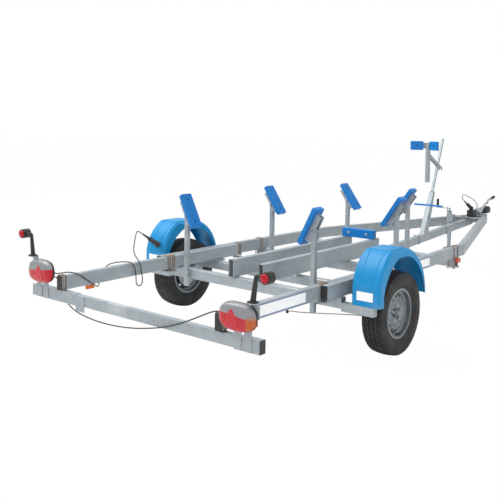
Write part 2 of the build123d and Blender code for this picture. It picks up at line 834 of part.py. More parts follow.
head_z = shelf_top + marker_arm_height
elbow_y = marker_base_y + marker_lean
with BuildPart() as marker_lamps:
    for side_name, side in sides:
        with BuildSketch(Plane.XY.offset(shelf_top)) as foot:
            with Locations((arm_x, side * marker_base_y)):
                RectangleRounded(*marker_foot, marker_foot_height)
        extrude(amount=marker_foot_height)
        with BuildSketch(Plane.XY.offset(shelf_top + marker_foot_height)) as arm_foot:
            with Locations((arm_x, side * marker_base_y)):
                Ellipse(*marker_arm_foot)
        with BuildSketch(Plane.XY.offset(head_z)) as arm_head:
            with Locations((arm_x, side * elbow_y)):
                Ellipse(*marker_arm_head)
        loft()
        with BuildSketch(Plane.XZ.offset(-side * elbow_y)) as neck:
            with Locations((arm_x, head_z)):
                Circle(marker_arm_head[0])
        extrude(amount=-side * (marker_base_y + marker_reach - elbow_y))
        with BuildSketch(Plane.YZ.offset(arm_x - marker_head_length / 2)) as head:
            with Locations((side * (marker_base_y + marker_reach), head_z)):
                Circle(marker_head_radius)
        extrude(amount=marker_head_length)
save(marker_lamps, "marker_lamps")

# Side markers: under the rear rails, against the mudguards' toes and on the front crossbeam's ends
side_marker_places = [  # x, y, top
    (rear_marker_x, rear_rail_y + rail_width / 2, rail_bottom),
    (mudguard_line[-1][0] + seat_gap + side_marker_length / 2, guard_marker_y, guard_marker_top),
    (front_beam_x + beam_depth / 2, crossbeams[2][2] + seat_gap + side_marker_depth / 2, rail_bottom),
]
with BuildPart() as side_markers:
    for marker_x, marker_y, marker_top in side_marker_places:
        for side_name, side in sides:
            with BuildSketch(Plane.XY.offset(marker_top)) as marker:
                with Locations((axle_x + marker_x, side * marker_y)):
                    RectangleRounded(side_marker_length, side_marker_depth, 6)
            extrude(amount=-side_marker_height)
save(side_markers, "side_markers")

# Bow post: a folded post that narrows upward, standing on the spine
bow_foot_z = spine_top_at(bow_foot_x)
bow_foot_front = bow_foot_x + bow_foot_length
with BuildPart() as bow_post:
    with BuildSketch(Plane.XZ) as side_view:
        with BuildLine():
            Polyline(
                (axle_x + bow_foot_x, spine_top_at(bow_foot_x)),
                (axle_x + bow_foot_front, spine_top_at(bow_foot_front)),
                (axle_x + bow_post_head_x + bow_post_head_length, bow_post_head_z),
                (axle_x + bow_post_head_x, bow_post_head_z),
                close=True,
            )
        make_face()
    extrude(amount=bow_post_width / 2, both=True)
    with BuildSketch(Plane.XZ) as rod_bore:
        with Locations((axle_x + bow_rod_x, bow_rod_z)):
            Circle(bow_rod_radius + pin_clearance)
    extrude(amount=bow_post_width, both=True, mode=Mode.SUBTRACT)
save(bow_post, "bow_post")

# Inclined bar that continues the line of the post's rear edge
bar_foot_x = bow_post_head_x + bow_post_head_length / 2
bar_line = [(axle_x + bar_foot_x, bow_post_head_z), (axle_x + bow_bar_top_x, bow_bar_top_z)]
with BuildPart() as bow_bar:
    with BuildSketch(Plane.XZ) as side_view:
        with BuildLine():
            Polyline(*strip(bar_line, bow_bar_size / 2), close=True)
        make_face()
        with Locations((axle_x + bar_foot_x, bow_post_head_z - bow_bar_size)):
            Rectangle(4 * bow_bar_size, 2 * bow_bar_size, mode=Mode.SUBTRACT)
    extrude(amount=bow_bar_size / 2, both=True)
save(bow_bar, "bow_bar")

# Upright tube behind the bar, its arm clamped to the bar, and the V bracket of the bow pads at its head
def bow_plane(side):
    swing = radians(bow_pad_angle)
    return Plane(
        origin=(axle_x + bow_tube_x, 0, bow_pad_z),
        x_dir=(-sin(swing), side * cos(swing), 0),
        z_dir=(-cos(swing), -side * sin(swing), 0),
    )


def arm_z_at(x):
    return bow_arm_root_z - (x - bow_tube_x) * tan(radians(bow_arm_fall))


arm_half_gap = bow_bar_size / 2 + pin_clearance
with BuildPart() as bow_tube:
    with BuildSketch(Plane.XY.offset(bow_tube_foot)) as section:
        with Locations((axle_x + bow_tube_x, 0)):
            Circle(bow_tube_radius)
    extrude(amount=bow_tube_top - bow_tube_foot)
    with BuildSketch(Plane.XZ) as arm_side:
        with BuildLine():
            Polyline(
                (axle_x + bow_tube_x, arm_z_at(bow_tube_x)),
                (axle_x + bow_arm_end_x, arm_z_at(bow_arm_end_x)),
                (axle_x + bow_arm_end_x, arm_z_at(bow_arm_end_x) - bow_arm_height),
                (axle_x + bow_tube_x, arm_z_at(bow_tube_x) - bow_arm_height),
                close=True,
            )
        make_face()
    extrude(amount=arm_half_gap + bow_arm_wall, both=True)
    with BuildSketch(Plane.XZ) as bar_slot:
        with BuildLine():
            Polyline(
                (axle_x + bow_tube_x + bow_tube_radius, bow_pad_z),
                (axle_x + bow_arm_end_x, bow_pad_z),
                (axle_x + bow_arm_end_x, bow_tube_foot),
                (axle_x + bow_tube_x + bow_tube_radius, bow_tube_foot),
                close=True,
            )
        make_face()
    extrude(amount=arm_half_gap, both=True, mode=Mode.SUBTRACT)
    for side_name, side in sides:
        with BuildSketch(bow_plane(side).offset(-bow_pad_thickness / 2)) as wing:
            with Locations((bow_pad_reach / 2, 0)):
                Rectangle(bow_pad_reach + bow_wing_overhang, bow_wing_height)
        extrude(amount=-bow_wing_plate)
    with BuildSketch(Plane.XY.offset(bow_tube_foot)) as tube_bore:
        with Locations((axle_x + bow_tube_x, 0)):
            Circle(bow_tube_radius - bow_tube_wall)
    extrude(amount=bow_tube_top - bow_tube_foot, mode=Mode.SUBTRACT)
save(bow_tube, "bow_tube")

with BuildPart() as bow_pads:
    for side_name, side in sides:
        with BuildSketch(bow_plane(side).offset(-bow_pad_thickness / 2)) as face:
            with Locations((bow_pad_reach, 0)):
                RectangleRounded(bow_pad_length, bow_pad_height, 8)
                Circle(pad_hole_radius, mode=Mode.SUBTRACT)
        extrude(amount=bow_pad_thickness)
save(bow_pads, "bow_pads")

# Cross rod through the bow post
with BuildPart() as bow_rod:
    with BuildSketch(Plane.XZ) as section:
        with Locations((axle_x + bow_rod_x, bow_rod_z)):
            Circle(bow_rod_radius)
    extrude(amount=bow_rod_half, both=True)
save(bow_rod, "bow_rod")

# Coupling on its cross plates, over the ends of the front rails
drawbar_slope = (knee_y - rail_width / 2 - tip_gap) / (tip_x - knee_x)


def drawbar_y_at(x):
    return knee_y - drawbar_slope * (x - knee_x)


cross_plate_places = ((rear_plate_x, rear_plate_length), (nose_plate_x, nose_plate_length))
with BuildPart() as cross_plates:
    for plate_x, plate_length in cross_plate_places:
        half_span = drawbar_y_at(plate_x) + rail_width / 2
        with BuildSketch(Plane.XY.offset(rail_top)) as plate:
            with Locations((axle_x + plate_x, 0)):
                RectangleRounded(plate_length, 2 * half_span, 8)
        extrude(amount=coupling_plate)
    with BuildSketch(Plane.XY.offset(rail_top)) as tongue:
        with Locations((axle_x + (nose_plate_x + rear_plate_x) / 2, 0)):
            Rectangle(nose_plate_x - rear_plate_x, tongue_width)
    extrude(amount=coupling_plate)
save(cross_plates, "coupling_plates")

coupling_bottom = rail_top + coupling_plate
drawtube_z = coupling_bottom + drawtube_rise
lever_face = barrel_half + 8.0
with BuildPart() as housing:
    with BuildSketch(Plane.XY.offset(coupling_bottom)) as foot:
        with Locations((axle_x + coupling_tail_x + housing_length / 2, 0)):
            RectangleRounded(housing_length, tongue_width, housing_foot)
    extrude(amount=housing_foot)
    with BuildSketch(Plane.YZ.offset(axle_x + barrel_tail_x)) as barrel:
        with Locations((0, drawtube_z)):
            RectangleRounded(2 * barrel_half, barrel_height, barrel_corner)
    extrude(amount=barrel_length)
    with BuildSketch(Plane.XZ) as lever_boss:
        with Locations((axle_x + lever_pivot_x, drawtube_z)):
            Circle(lever_hub_radius)
    extrude(amount=lever_face - pin_clearance)
    with BuildSketch(Plane.XZ) as lever_pin:
        with Locations((axle_x + lever_pivot_x, drawtube_z)):
            Circle(lever_pin_radius)
    extrude(amount=lever_face + lever_plate + 6)
    with BuildSketch(Plane.XY.offset(lead_gland_top)) as lead_gland:
        with Locations((axle_x + lead_gland_x, lead_gland_y)):
            Circle(lead_gland_radius)
    extrude(amount=drawtube_z + drawtube_radius + 5 - lead_gland_top)
    with BuildSketch(Plane.YZ.offset(axle_x + barrel_tail_x)) as bore:
        with Locations((0, drawtube_z)):
            Circle(drawtube_radius + pin_clearance)
    extrude(amount=barrel_length, mode=Mode.SUBTRACT)
save(housing, "coupling_housing")

head_start = coupling_nose_x - coupling_head_length
# the bellows' section steps out and in once for each fold
bellows_start = coupling_tail_x + housing_length + 2
fold_pitch = (head_start - bellows_start) / bellows_folds
with BuildPart() as gaiter:
    with BuildSketch(Plane.XZ) as section:
        with BuildLine():
            crest_line = [
                (axle_x + barrel_tail_x, drawtube_z),
                (axle_x + barrel_tail_x, drawtube_z + drawtube_radius),
                (axle_x + bellows_start, drawtube_z + drawtube_radius),
            ]
            for fold in range(bellows_folds):
                fold_x = axle_x + bellows_start + fold * fold_pitch
                crest_line.append((fold_x + 0.5 * fold_pitch, drawtube_z + bellows_radius))
                crest_line.append((fold_x + fold_pitch, drawtube_z + drawtube_radius + 3))
            crest_line.append((axle_x + head_start, drawtube_z))
            Polyline(*crest_line, close=True)
        make_face()
    revolve(axis=Axis((axle_x, 0, drawtube_z), (1, 0, 0)))
save(gaiter, "gaiter")

head_sections = [  # distance from its rear, width, height, corner radius
    (0.0, 62.0, 72.0, 16.0),
    (60.0, 84.0, 88.0, 20.0),
    (coupling_head_length, 64.0, 74.0, 24.0),
]
head_bottom = drawtube_z - coupling_head_drop
with BuildPart() as head:
    for reach, width, height, corner in head_sections:
        with BuildSketch(Plane.YZ.offset(axle_x + head_start + reach)) as head_section:
            with Locations((0, head_bottom + height / 2)):
                RectangleRounded(width, height, corner)
    loft()
    with BuildSketch(Plane.XY.offset(head_bottom + socket_depth)) as socket:
        with Locations((axle_x + coupling_nose_x - socket_setback, 0)):
            Circle(socket_radius)
    extrude(amount=-2 * socket_depth, mode=Mode.SUBTRACT)
save(head, "coupling_head")

# Handbrake lever on its pin, on the right side of the housing
with BuildPart() as lever:
    with BuildSketch(Plane.XZ.offset(lever_face)) as side_view:
        with BuildLine():
            lever_line = [
                (axle_x + lever_pivot_x, drawtube_z),
                (axle_x + lever_pivot_x + lever_bend[0], drawtube_z + lever_bend[1]),
                (axle_x + lever_pivot_x + lever_tip[0] - grip_length / 2, drawtube_z + lever_tip[1] - 8),
            ]
            Polyline(*strip(lever_line, lever_half_width), close=True)
        make_face()
        with Locations((axle_x + lever_pivot_x, drawtube_z)):
            Circle(lever_hub_radius)
            Circle(lever_pin_radius + pin_clearance, mode=Mode.SUBTRACT)
    extrude(amount=lever_plate)
    grip_plane = Plane(
        origin=(
            axle_x + lever_pivot_x + lever_tip[0],
            -lever_face - lever_plate / 2,
            drawtube_z + lever_tip[1],
        ),
        x_dir=(0, 1, 0),
        z_dir=(-cos(grip_slope), 0, -sin(grip_slope)),
    )
    with BuildSketch(grip_plane) as grip:
        Ellipse(grip_half_width, grip_half_height)
    extrude(amount=grip_length)
save(lever, "handbrake_lever")

# Jockey wheel: a split clamp on the spine's left side, outer tube with its crank, leg, fork and wheel
clamp_foot = spine_top_at(jockey_x) - spine_height
with BuildPart() as jockey_clamp:
    with BuildSketch(Plane.XY.offset(jockey_clamp_foot)) as ring:
        with Locations((axle_x + jockey_x, jockey_y)):
            Circle(jockey_tube_radius + jockey_clamp_wall)
        with Locations((axle_x + jockey_x, (spine_width / 2 + jockey_y) / 2)):
            Rectangle(jockey_clamp_width, jockey_y - spine_width / 2)
        with Locations((axle_x + jockey_x, jockey_y)):
            Circle(jockey_tube_radius + pin_clearance, mode=Mode.SUBTRACT)
    extrude(amount=jockey_clamp_height)
    with BuildSketch(Plane.XY.offset(clamp_foot)) as side_plate:
        with Locations((axle_x + jockey_x, spine_width / 2 + jockey_clamp_plate / 2)):
            Rectangle(jockey_clamp_width, jockey_clamp_plate)
    extrude(amount=jockey_clamp_foot + jockey_clamp_height - clamp_foot)
save(jockey_clamp, "jockey_clamp")

with BuildPart() as jockey_tube:
    with BuildSketch(Plane.XY.offset(jockey_tube_foot)) as section:
        with Locations((axle_x + jockey_x, jockey_y)):
            Circle(jockey_tube_radius)
            Circle(jockey_tube_radius - jockey_tube_wall, mode=Mode.SUBTRACT)
    extrude(amount=jockey_tube_top - jockey_tube_foot)
    with BuildSketch(Plane.XY.offset(jockey_tube_top)) as cap:
        with Locations((axle_x + jockey_x, jockey_y)):
            Circle(jockey_tube_radius + 2)
    extrude(amount=jockey_cap)
    crank_z = jockey_tube_top + jockey_cap
    with BuildSketch(Plane.XY.offset(crank_z)) as shaft:
        with Locations((axle_x + jockey_x, jockey_y)):
            Circle(crank_shaft_radius)
    extrude(amount=crank_shaft_height)
    with BuildSketch(Plane.XY.offset(crank_z + crank_shaft_height - crank_thickness)) as crank:
        with Locations((axle_x + jockey_x, jockey_y + crank_reach / 2)):
            SlotCenterToCenter(crank_reach, 22, rotation=90)
    extrude(amount=crank_thickness)
    with BuildSketch(Plane.XY.offset(crank_z + crank_shaft_height)) as knob:
        with Locations((axle_x + jockey_x, jockey_y + crank_reach)):
            Circle(crank_knob_radius)
    extrude(amount=crank_knob_length)
    fillet(jockey_tube.faces().sort_by(Axis.Z)[-1].edges(), 5)
save(jockey_tube, "jockey_tube")

fork_top = 2 * jockey_wheel_radius + fork_gap
collar_top = fork_top + fork_collar
with BuildPart() as jockey_leg:
    with BuildSketch(Plane.XY.offset(collar_top + pin_clearance)) as section:
        with Locations((axle_x + jockey_x, jockey_y)):
            Circle(jockey_tube_radius - jockey_tube_wall - pin_clearance)
    extrude(amount=jockey_leg_top - collar_top - pin_clearance)
save(jockey_leg, "jockey_leg")

with BuildPart() as jockey_fork:
    with BuildSketch(Plane.XY.offset(fork_top - fork_plate)) as crown:
        with Locations((axle_x + jockey_x - jockey_trail / 2, jockey_y)):
            Rectangle(jockey_trail + 50, 2 * fork_cheek_y + fork_plate)
    extrude(amount=fork_plate)
    with BuildSketch(Plane.XY.offset(fork_top)) as collar:
        with Locations((axle_x + jockey_x, jockey_y)):
            Circle(jockey_tube_radius + 3)
    extrude(amount=fork_collar)
    for cheek in (-1, 1):
        cheek_middle = jockey_y + cheek * fork_cheek_y
        with BuildSketch(Plane.XZ.offset(-cheek_middle - fork_plate / 2)) as cheek_plate:
            with BuildLine():
                Polyline(
                    (axle_x + jockey_x + 25, fork_top - fork_plate),
                    (axle_x + jockey_x - jockey_trail - 25, fork_top - fork_plate),
                    (axle_x + jockey_x - jockey_trail - 22, jockey_wheel_radius - 18),
                    (axle_x + jockey_x - jockey_trail + 22, jockey_wheel_radius - 18),
                    close=True,
                )
            make_face()
        extrude(amount=fork_plate)
    with BuildSketch(Plane.XZ.offset(-jockey_y)) as axle_pin:
        with Locations((axle_x + jockey_x - jockey_trail, jockey_wheel_radius)):
            Circle(jockey_pin_radius)
    extrude(amount=fork_cheek_y + 6, both=True)
save(jockey_fork, "jockey_fork")

with BuildPart() as jockey_wheel:
    with BuildSketch(Plane.XZ.offset(-jockey_y)) as disc:
        with Locations((axle_x + jockey_x - jockey_trail, jockey_wheel_radius)):
            Circle(jockey_wheel_radius)
            Circle(jockey_pin_radius + pin_clearance, mode=Mode.SUBTRACT)
    extrude(amount=jockey_wheel_width / 2, both=True)
    wheel_rims = jockey_wheel.edges().filter_by(GeomType.CIRCLE).group_by(SortBy.RADIUS)[-1]
    fillet(wheel_rims, 12)
save(jockey_wheel, "jockey_wheel")

# Plastic end caps of the tubes
with BuildPart() as end_caps:
    for side_name, side in sides:
        for cap_x, cap_y in (
            (rear_rail_tail, rear_rail_y),
            (front_rail_tail, front_rail_y),
        ):
            with BuildSketch(Plane.YZ.offset(axle_x + cap_x)) as rail_cap:
                with Locations((side * cap_y, rail_top - rail_height / 2)):
                    RectangleRounded(rail_width, rail_height, 2 * rail_wall)
            extrude(amount=-cap_thickness)
        cap_plane = Plane(origin=(0, side * light_beam_half, 0), x_dir=(-side, 0, 0), z_dir=(0, side, 0))
        with BuildSketch(cap_plane) as beam_cap:
            with Locations((-side * beam_middle_x, light_beam_bottom + light_beam_height / 2)):
                Rectangle(light_beam_depth + 2 * sleeve_wall, light_beam_height + 2 * sleeve_wall)
        extrude(amount=cap_thickness)
    # clip that the brake cable comes out of, under the right rear rail
    with BuildSketch(Plane.XY.offset(rail_bottom)) as cable_clip:
        with Locations((axle_x + brake_clip_x - brake_clip_length / 2, brake_clip_y)):
            Rectangle(brake_clip_length, 14)
    extrude(amount=-18)
save(end_caps, "end_caps")

# Plugs on the two leads: length and radius along the axis from the cable's end
plug_profile = [  # share of the length, radius
    (0.0, 6.5),
    (0.35, 11.0),
    (0.38, 19.0),
    (0.80, 21.0),
    (0.81, 25.0),
    (1.0, 25.0),
]


def unit(start, end):
    return (end - start).normalized()


def turned_plug(tail, tip, node):
    reach = (tip - tail).length
    axis_dir = unit(tail, tip)
    side_dir = axis_dir.cross(Vector(0, 0, 1)).normalized()
    plug_plane = Plane(origin=tail, x_dir=axis_dir, z_dir=side_dir)
    with BuildPart() as plug:
        with BuildSketch(plug_plane) as section:
            with BuildLine():
                edge_line = [(share * reach, radius) for share, radius in plug_profile]
                Polyline((0, 0), *edge_line, (reach, 0), close=True)
            make_face()
        revolve(axis=Axis(tail, axis_dir))
    save(plug, node)


left_plug_tail = Vector(axle_x - 452, 1075, 676)
left_plug_tip = Vector(axle_x - 379, 950, 584)
nose_plug_tail = Vector(axle_x + 3722, 30, 729)
nose_plug_tip = Vector(axle_x + 3785, -40, 634)
turned_plug(left_plug_tail, left_plug_tip, "plug_left")
turned_plug(nose_plug_tail, nose_plug_tip, "plug_nose")

# Holder that the nose plug is parked in: a block bored along the plug's axis
with BuildPart() as plug_holder:
    with BuildSketch(Plane.XY.offset(coupling_bottom)) as holder_block:
        with Locations((axle_x + holder_x, holder_y)):
            RectangleRounded(holder_length, holder_width, 8)
    extrude(amount=holder_height)
    park_dir = unit(nose_plug_tail, nose_plug_tip)
    park_plane = Plane(origin=nose_plug_tip - 30 * park_dir, z_dir=park_dir)
    with BuildSketch(park_plane) as park_bore:
        Circle(plug_profile[-1][1] + pin_clearance)
    extrude(amount=30 + pin_clearance, mode=Mode.SUBTRACT)
save(plug_holder, "plug_holder")

# Cords: straight runs joined by tangent arcs
cord_radius = 4.0
brake_cable_radius = 3.0
tail_cable_route = [  # x, y, z
    (-1512, 850, 510),
    (-1484, 850, 510),
    (-1460, 846, 488),
    (-1453, 832, 448),
    (-1454, 806, 406),
    (-1460, 768, 368),
    (-1470, 723, 338),
    (-1484, 660, 318),
    (-1500, 575, 305),
    (-1512, 480, 297),
    (-1520, 380, 292),
    (-1527, 280, 291),
    (-1532, 180, 296),
    (-1536, 85, 303),
    (-1539, -8, 314),
    (-1541, -100, 329),
    (-1542, -190, 347),
    (-1543, -278, 367),
    (-1544, -360, 391),
    (-1545, -440, 419),
    (-1545, -525, 455),
    (-1544, -605, 492),
    (-1543, -672, 524),
    (-1541, -718, 544),
    (-1538, -752, 552),
    (-1538, -777.5, 552),
]
left_lead_route = [  # x, y, z
    (-1538, 777.5, 552),
    (-1538, 756, 552),
    (-1528, 734, 557),
    (-1500, 718, 560),
    (-1459, 712, 557),
    (-1415, 710, 543),
    (-1373, 711, 522),
    (-1328, 712, 490),
    (-1284, 710, 458),
    (-1250, 707, 434),
    (-1222, 711, 416),
    (-1196, 730, 413),
    (-1172, 754, 412),
    (-1150, 777, 419),
    (-1130, 791, 449),
    (-1110, 791, 487),
    (-1088, 788, 524),
    (-1058, 776, 549),
    (-1018, 762, 556),
    (-975, 745, 557),
    (-932, 726, 556),
    (-900, 708, 546),
    (-878, 702, 520),
    (-862, 703, 488),
    (-855, 706, 454),
    (-850, 708, 416),
    (-850, 706, 379),
    (-838, 705, 362),
    (-818, 704, 355),
    (-798, 704, 362),
    (-786, 705, 379),
    (-787, 706, 410),
    (-791, 707, 440),
    (-799, 706, 476),
    (-811, 705, 517),
    (-828, 708, 556),
    (-842, 726, 586),
    (-832, 757, 612),
    (-800, 795, 635),
    (-755, 840, 655),
    (-702, 893, 672),
    (-648, 947, 686),
    (-595, 1000, 697),
    (-545, 1047, 704),
    (-498, 1088.5, 703),
    (-484, 1093.5, 699),
    (-470, 1093, 692.5),
    (-458.5, 1086.5, 684.5),
    (-452, 1075, 676),
]
nose_lead_route = [  # x, y, z
    (3722, 30, 729),
    (3710.2, 43.1, 746.7),
    (3707, 55, 772),
    (3733, 61, 797),
    (3774, 58, 800),
    (3822, 53, 790),
    (3872, 47, 773),
    (3922, 40, 755),
    (3970, 32, 736),
    (4013, 24, 712),
    (4043, 16, 682),
    (4060, 8, 655),
    (4060, 8, 630),
]
brake_cable_route = [  # x, y, z
    (-884, -765, 424),
    (-850, -765, 424),
    (-808, -775, 410),
    (-755, -786, 399),
    (-693, -800, 386),
    (-625, -815, 373),
    (-558, -831, 360),
    (-487, -847, 347),
    (-418, -862, 334),
    (-352, -875, 321),
    (-291, -888, 309),
    (-232, -901, 297),
    (-177, -917, 282),
    (-128, -932, 262),
    (-76, -947, 243),
    (-64, -957, 238.5),
    (-60, -970, 236),
    (-60, -985.5, 236),
]


def corner_radii(route):
    radii = []
    for before, corner, after in zip(route, route[1:], route[2:]):
        run_in = corner - before
        run_out = after - corner
        turn = radians(run_in.get_angle(run_out))
        radii.append(0.45 * min(run_in.length, run_out.length) / tan(turn / 2))
    return radii


def cord(points, radius, node):
    route = [Vector(axle_x + px, py, pz) for px, py, pz in points]
    radii = corner_radii(route)
    with BuildPart() as tube:
        with BuildLine() as path:
            FilletPolyline(*route, radius=radii)
        with BuildSketch(Plane(origin=route[0], z_dir=unit(route[0], route[1]))) as section:
            Circle(radius)
        sweep()
    length = sum(edge.length for edge in path.edges())
    share = tube.part.volume / (pi * radius**2 * length)
    print(node, f"length {length:.0f}, volume share {share:.4f}, radii", [round(r) for r in radii])
    save(tube, node)


cord(tail_cable_route, cord_radius, "tail_cable")
cord(left_lead_route, cord_radius, "lead_left")
cord(nose_lead_route, cord_radius, "lead_nose")
cord(brake_cable_route, brake_cable_radius, "brake_cable")
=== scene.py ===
from math import atan2, cos, hypot, pi, radians, sin
import random

import bpy
import bmesh
from mathutils import Matrix, Vector


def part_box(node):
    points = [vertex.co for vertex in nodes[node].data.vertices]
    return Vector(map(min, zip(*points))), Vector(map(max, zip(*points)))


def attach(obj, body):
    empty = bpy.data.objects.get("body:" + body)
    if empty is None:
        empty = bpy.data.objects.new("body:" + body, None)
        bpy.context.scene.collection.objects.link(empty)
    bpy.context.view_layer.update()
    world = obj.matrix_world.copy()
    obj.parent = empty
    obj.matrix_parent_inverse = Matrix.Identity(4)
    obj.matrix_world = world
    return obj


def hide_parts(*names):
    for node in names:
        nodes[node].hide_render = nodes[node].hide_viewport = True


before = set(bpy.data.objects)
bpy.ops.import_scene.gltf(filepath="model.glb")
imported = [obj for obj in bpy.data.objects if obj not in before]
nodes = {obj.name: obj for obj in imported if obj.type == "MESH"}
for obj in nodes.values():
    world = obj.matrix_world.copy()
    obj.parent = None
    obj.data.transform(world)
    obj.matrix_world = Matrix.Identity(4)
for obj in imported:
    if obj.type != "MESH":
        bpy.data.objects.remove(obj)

random.seed(7)
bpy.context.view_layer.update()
tyreLow, tyreHigh = (Vector(corner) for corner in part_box("tyre_left"))
axleX = (tyreLow.x + tyreHigh.x) / 2
mm = 0.001
sides = (("left", 1), ("right", -1))
print("frame loaded, axle at", round(axleX, 4))


def at(x, y, z):  # a place in millimetres from the axle line
    return Vector((axleX + x * mm, y * mm, z * mm))


# Camera: the photograph's own viewpoint
view = {
    "place": (-4619, -3510, 1627),
    "yaw": 0.6740,
    "pitch": 0.0386,
    "roll": -0.0161,
    "focalPixels": 732.5,
    "centre": (261.1, 150.9),
    "pixels": 500,
    "sensor": 36.0,
}


def placeCamera():
    yaw, pitch, roll = view["yaw"], view["pitch"], view["roll"]
    forward = Vector((cos(yaw) * cos(pitch), sin(yaw) * cos(pitch), -sin(pitch)))
    level = Vector((sin(yaw), -cos(yaw), 0))
    down = forward.cross(level)
    right = cos(roll) * level + sin(roll) * down
    up = sin(roll) * level - cos(roll) * down
    camera = bpy.data.cameras.new("camera")
    camera.sensor_width = view["sensor"]
    camera.lens = view["focalPixels"] / view["pixels"] * view["sensor"]
    camera.shift_x = 0.5 - view["centre"][0] / view["pixels"]
    camera.shift_y = view["centre"][1] / view["pixels"] - 0.5
    camera.clip_end = 200
    holder = bpy.data.objects.new("camera", camera)
    bpy.context.collection.objects.link(holder)
    turn = Matrix((right, up, -forward)).transposed().to_4x4()
    holder.matrix_world = Matrix.Translation(at(*view["place"])) @ turn
    bpy.context.scene.camera = holder


placeCamera()


class Value:  # a socket that takes part in arithmetic
    def __init__(self, shader, socket):
        self.shader = shader
        self.socket = socket

    def maths(self, operation, first, second):
        return self.shader.node("ShaderNodeMath", {"operation": operation}, {0: first, 1: second})

    def __add__(self, other):
        return self.maths("ADD", self, other)

    def __radd__(self, other):
        return self.maths("ADD", other, self)

    def __sub__(self, other):
        return self.maths("SUBTRACT", self, other)

    def __rsub__(self, other):
        return self.maths("SUBTRACT", other, self)

    def __mul__(self, other):
        return self.maths("MULTIPLY", self, other)

    def __rmul__(self, other):
        return self.maths("MULTIPLY", other, self)


class Shader:  # one material and its nodes
    def __init__(self, name):
        self.material = bpy.data.materials.new(name)
        self.material.use_nodes = True
        self.tree = self.material.node_tree
        self.surface = self.tree.nodes["Principled BSDF"]

    def feed(self, socket, value):
        if isinstance(value, Value):
            self.tree.links.new(value.socket, socket)
        else:
            socket.default_value = value

    def node(self, kind, settings=None, inputs=None, output=0):
        made = self.tree.nodes.new(kind)
        for key, value in (settings or {}).items():
            setattr(made, key, value)
        for key, value in (inputs or {}).items():
            self.feed(made.inputs[key], value)
        return Value(self, made.outputs[output])

    def place(self):
        return self.node("ShaderNodeTexCoord", output=3)

    def axes(self):
        split = self.tree.nodes.new("ShaderNodeSeparateXYZ")
        self.feed(split.inputs[0], self.place())
        return [Value(self, split.outputs[index]) for index in range(3)]

    def noise(self, scale, detail=3.0, stretch=(1, 1, 1)):
        where = self.node("ShaderNodeVectorMath", {"operation": "MULTIPLY"}, {0: self.place(), 1: stretch})
        return self.node("ShaderNodeTexNoise", None, {"Vector": where, "Scale": scale, "Detail": detail})

    def wave(self, axis, scale):
        inputs = {"Vector": self.place(), "Scale": scale}
        return self.node("ShaderNodeTexWave", {"bands_direction": axis}, inputs)

    def step(self, value, low, high):  # 0 below low, 1 above high
        settings = {"interpolation_type": "SMOOTHSTEP"}
        return self.node("ShaderNodeMapRange", settings, {0: value, 1: low, 2: high, 3: 0.0, 4: 1.0})

    def mix(self, factor, first, second):
        return self.node("ShaderNodeMix", {"data_type": "RGBA"}, {0: factor, 6: first, 7: second}, 2)

    def bump(self, height, strength, distance):
        inputs = {"Height": height, "Strength": strength, "Distance": distance}
        return self.node("ShaderNodeBump", None, inputs)

    def set(self, **values):
        for key, value in values.items():
            self.feed(self.surface.inputs[key.replace("_", " ")], value)
        return self.material


def rgba(red, green, blue):
    return (red, green, blue, 1.0)


# Finishes
finishes = {
    "smokeLight": rgba(0.30, 0.31, 0.33),
    "smokeDark": rgba(0.09, 0.095, 0.105),
    "lampRed": rgba(0.58, 0.004, 0.018),
    "lampAmber": rgba(0.50, 0.13, 0.012),
    "lampRedDark": rgba(0.16, 0.002, 0.006),
    "lampAmberDark": rgba(0.16, 0.050, 0.010),
    "markerRed": rgba(0.55, 0.050, 0.012),
    "markerDark": rgba(0.25, 0.030, 0.006),
    "reflector": rgba(0.72, 0.010, 0.030),
    "reflectorDark": rgba(0.30, 0.003, 0.010),
    "ribScale": 260.0 / 6.3,
    "steelDark": rgba(0.215, 0.255, 0.280),
    "steelLight": rgba(0.470, 0.510, 0.535),
    "steelWhite": rgba(0.690, 0.715, 0.730),
    "spangleScale": 75.0,
    "padBlue": rgba(0.006, 0.155, 0.480),
    "padWorn": rgba(0.020, 0.225, 0.540),
    "guardBlue": rgba(0.006, 0.225, 0.500),
    "guardPale": rgba(0.018, 0.280, 0.580),
    "dust": rgba(0.36, 0.33, 0.29),
    "rubber": rgba(0.013, 0.013, 0.014),
    "rubberDusty": rgba(0.048, 0.046, 0.042),
    "silver": rgba(0.150, 0.175, 0.195),
    "zinc": rgba(0.20, 0.125, 0.085),
    "zincPale": rgba(0.36, 0.29, 0.23),
    "red": rgba(0.46, 0.002, 0.012),
    "clear": rgba(0.050, 0.055, 0.062),
    "amber": rgba(0.70, 0.150, 0.008),
    "white": rgba(0.90, 0.91, 0.92),
    "inkBlue": rgba(0.03, 0.10, 0.42),
}


def steelFinish(name, pale=0.0):
    shader = Shader(name)
    cells = shader.tree.nodes.new("ShaderNodeTexVoronoi")
    shader.feed(cells.inputs["Vector"], shader.place())
    cells.inputs["Scale"].default_value = finishes["spangleScale"]
    parts = shader.tree.nodes.new("ShaderNodeSeparateColor")
    shader.tree.links.new(cells.outputs["Color"], parts.inputs[0])
    spangle = Value(shader, parts.outputs[0])
    clouds = shader.noise(4.0, 5.0)
    runs = shader.noise(9.0, 3.0, (0.35, 2.2, 2.2))
    tone = 0.22 * spangle + 0.75 * clouds + 0.45 * runs - 0.25 + pale
    stain = shader.step(shader.noise(2.6, 6.0), 0.60, 0.78) * 0.35
    metal = shader.mix(tone, finishes["steelDark"], finishes["steelLight"])
    colour = shader.mix(stain, metal, finishes["steelWhite"])
    height = 0.5 * spangle + runs
    return shader.set(
        Base_Color=colour,
        Metallic=0.40,
        Roughness=0.40 + 0.16 * clouds + 0.10 * spangle,
        Normal=shader.bump(height, 0.18, 0.0012),
    )


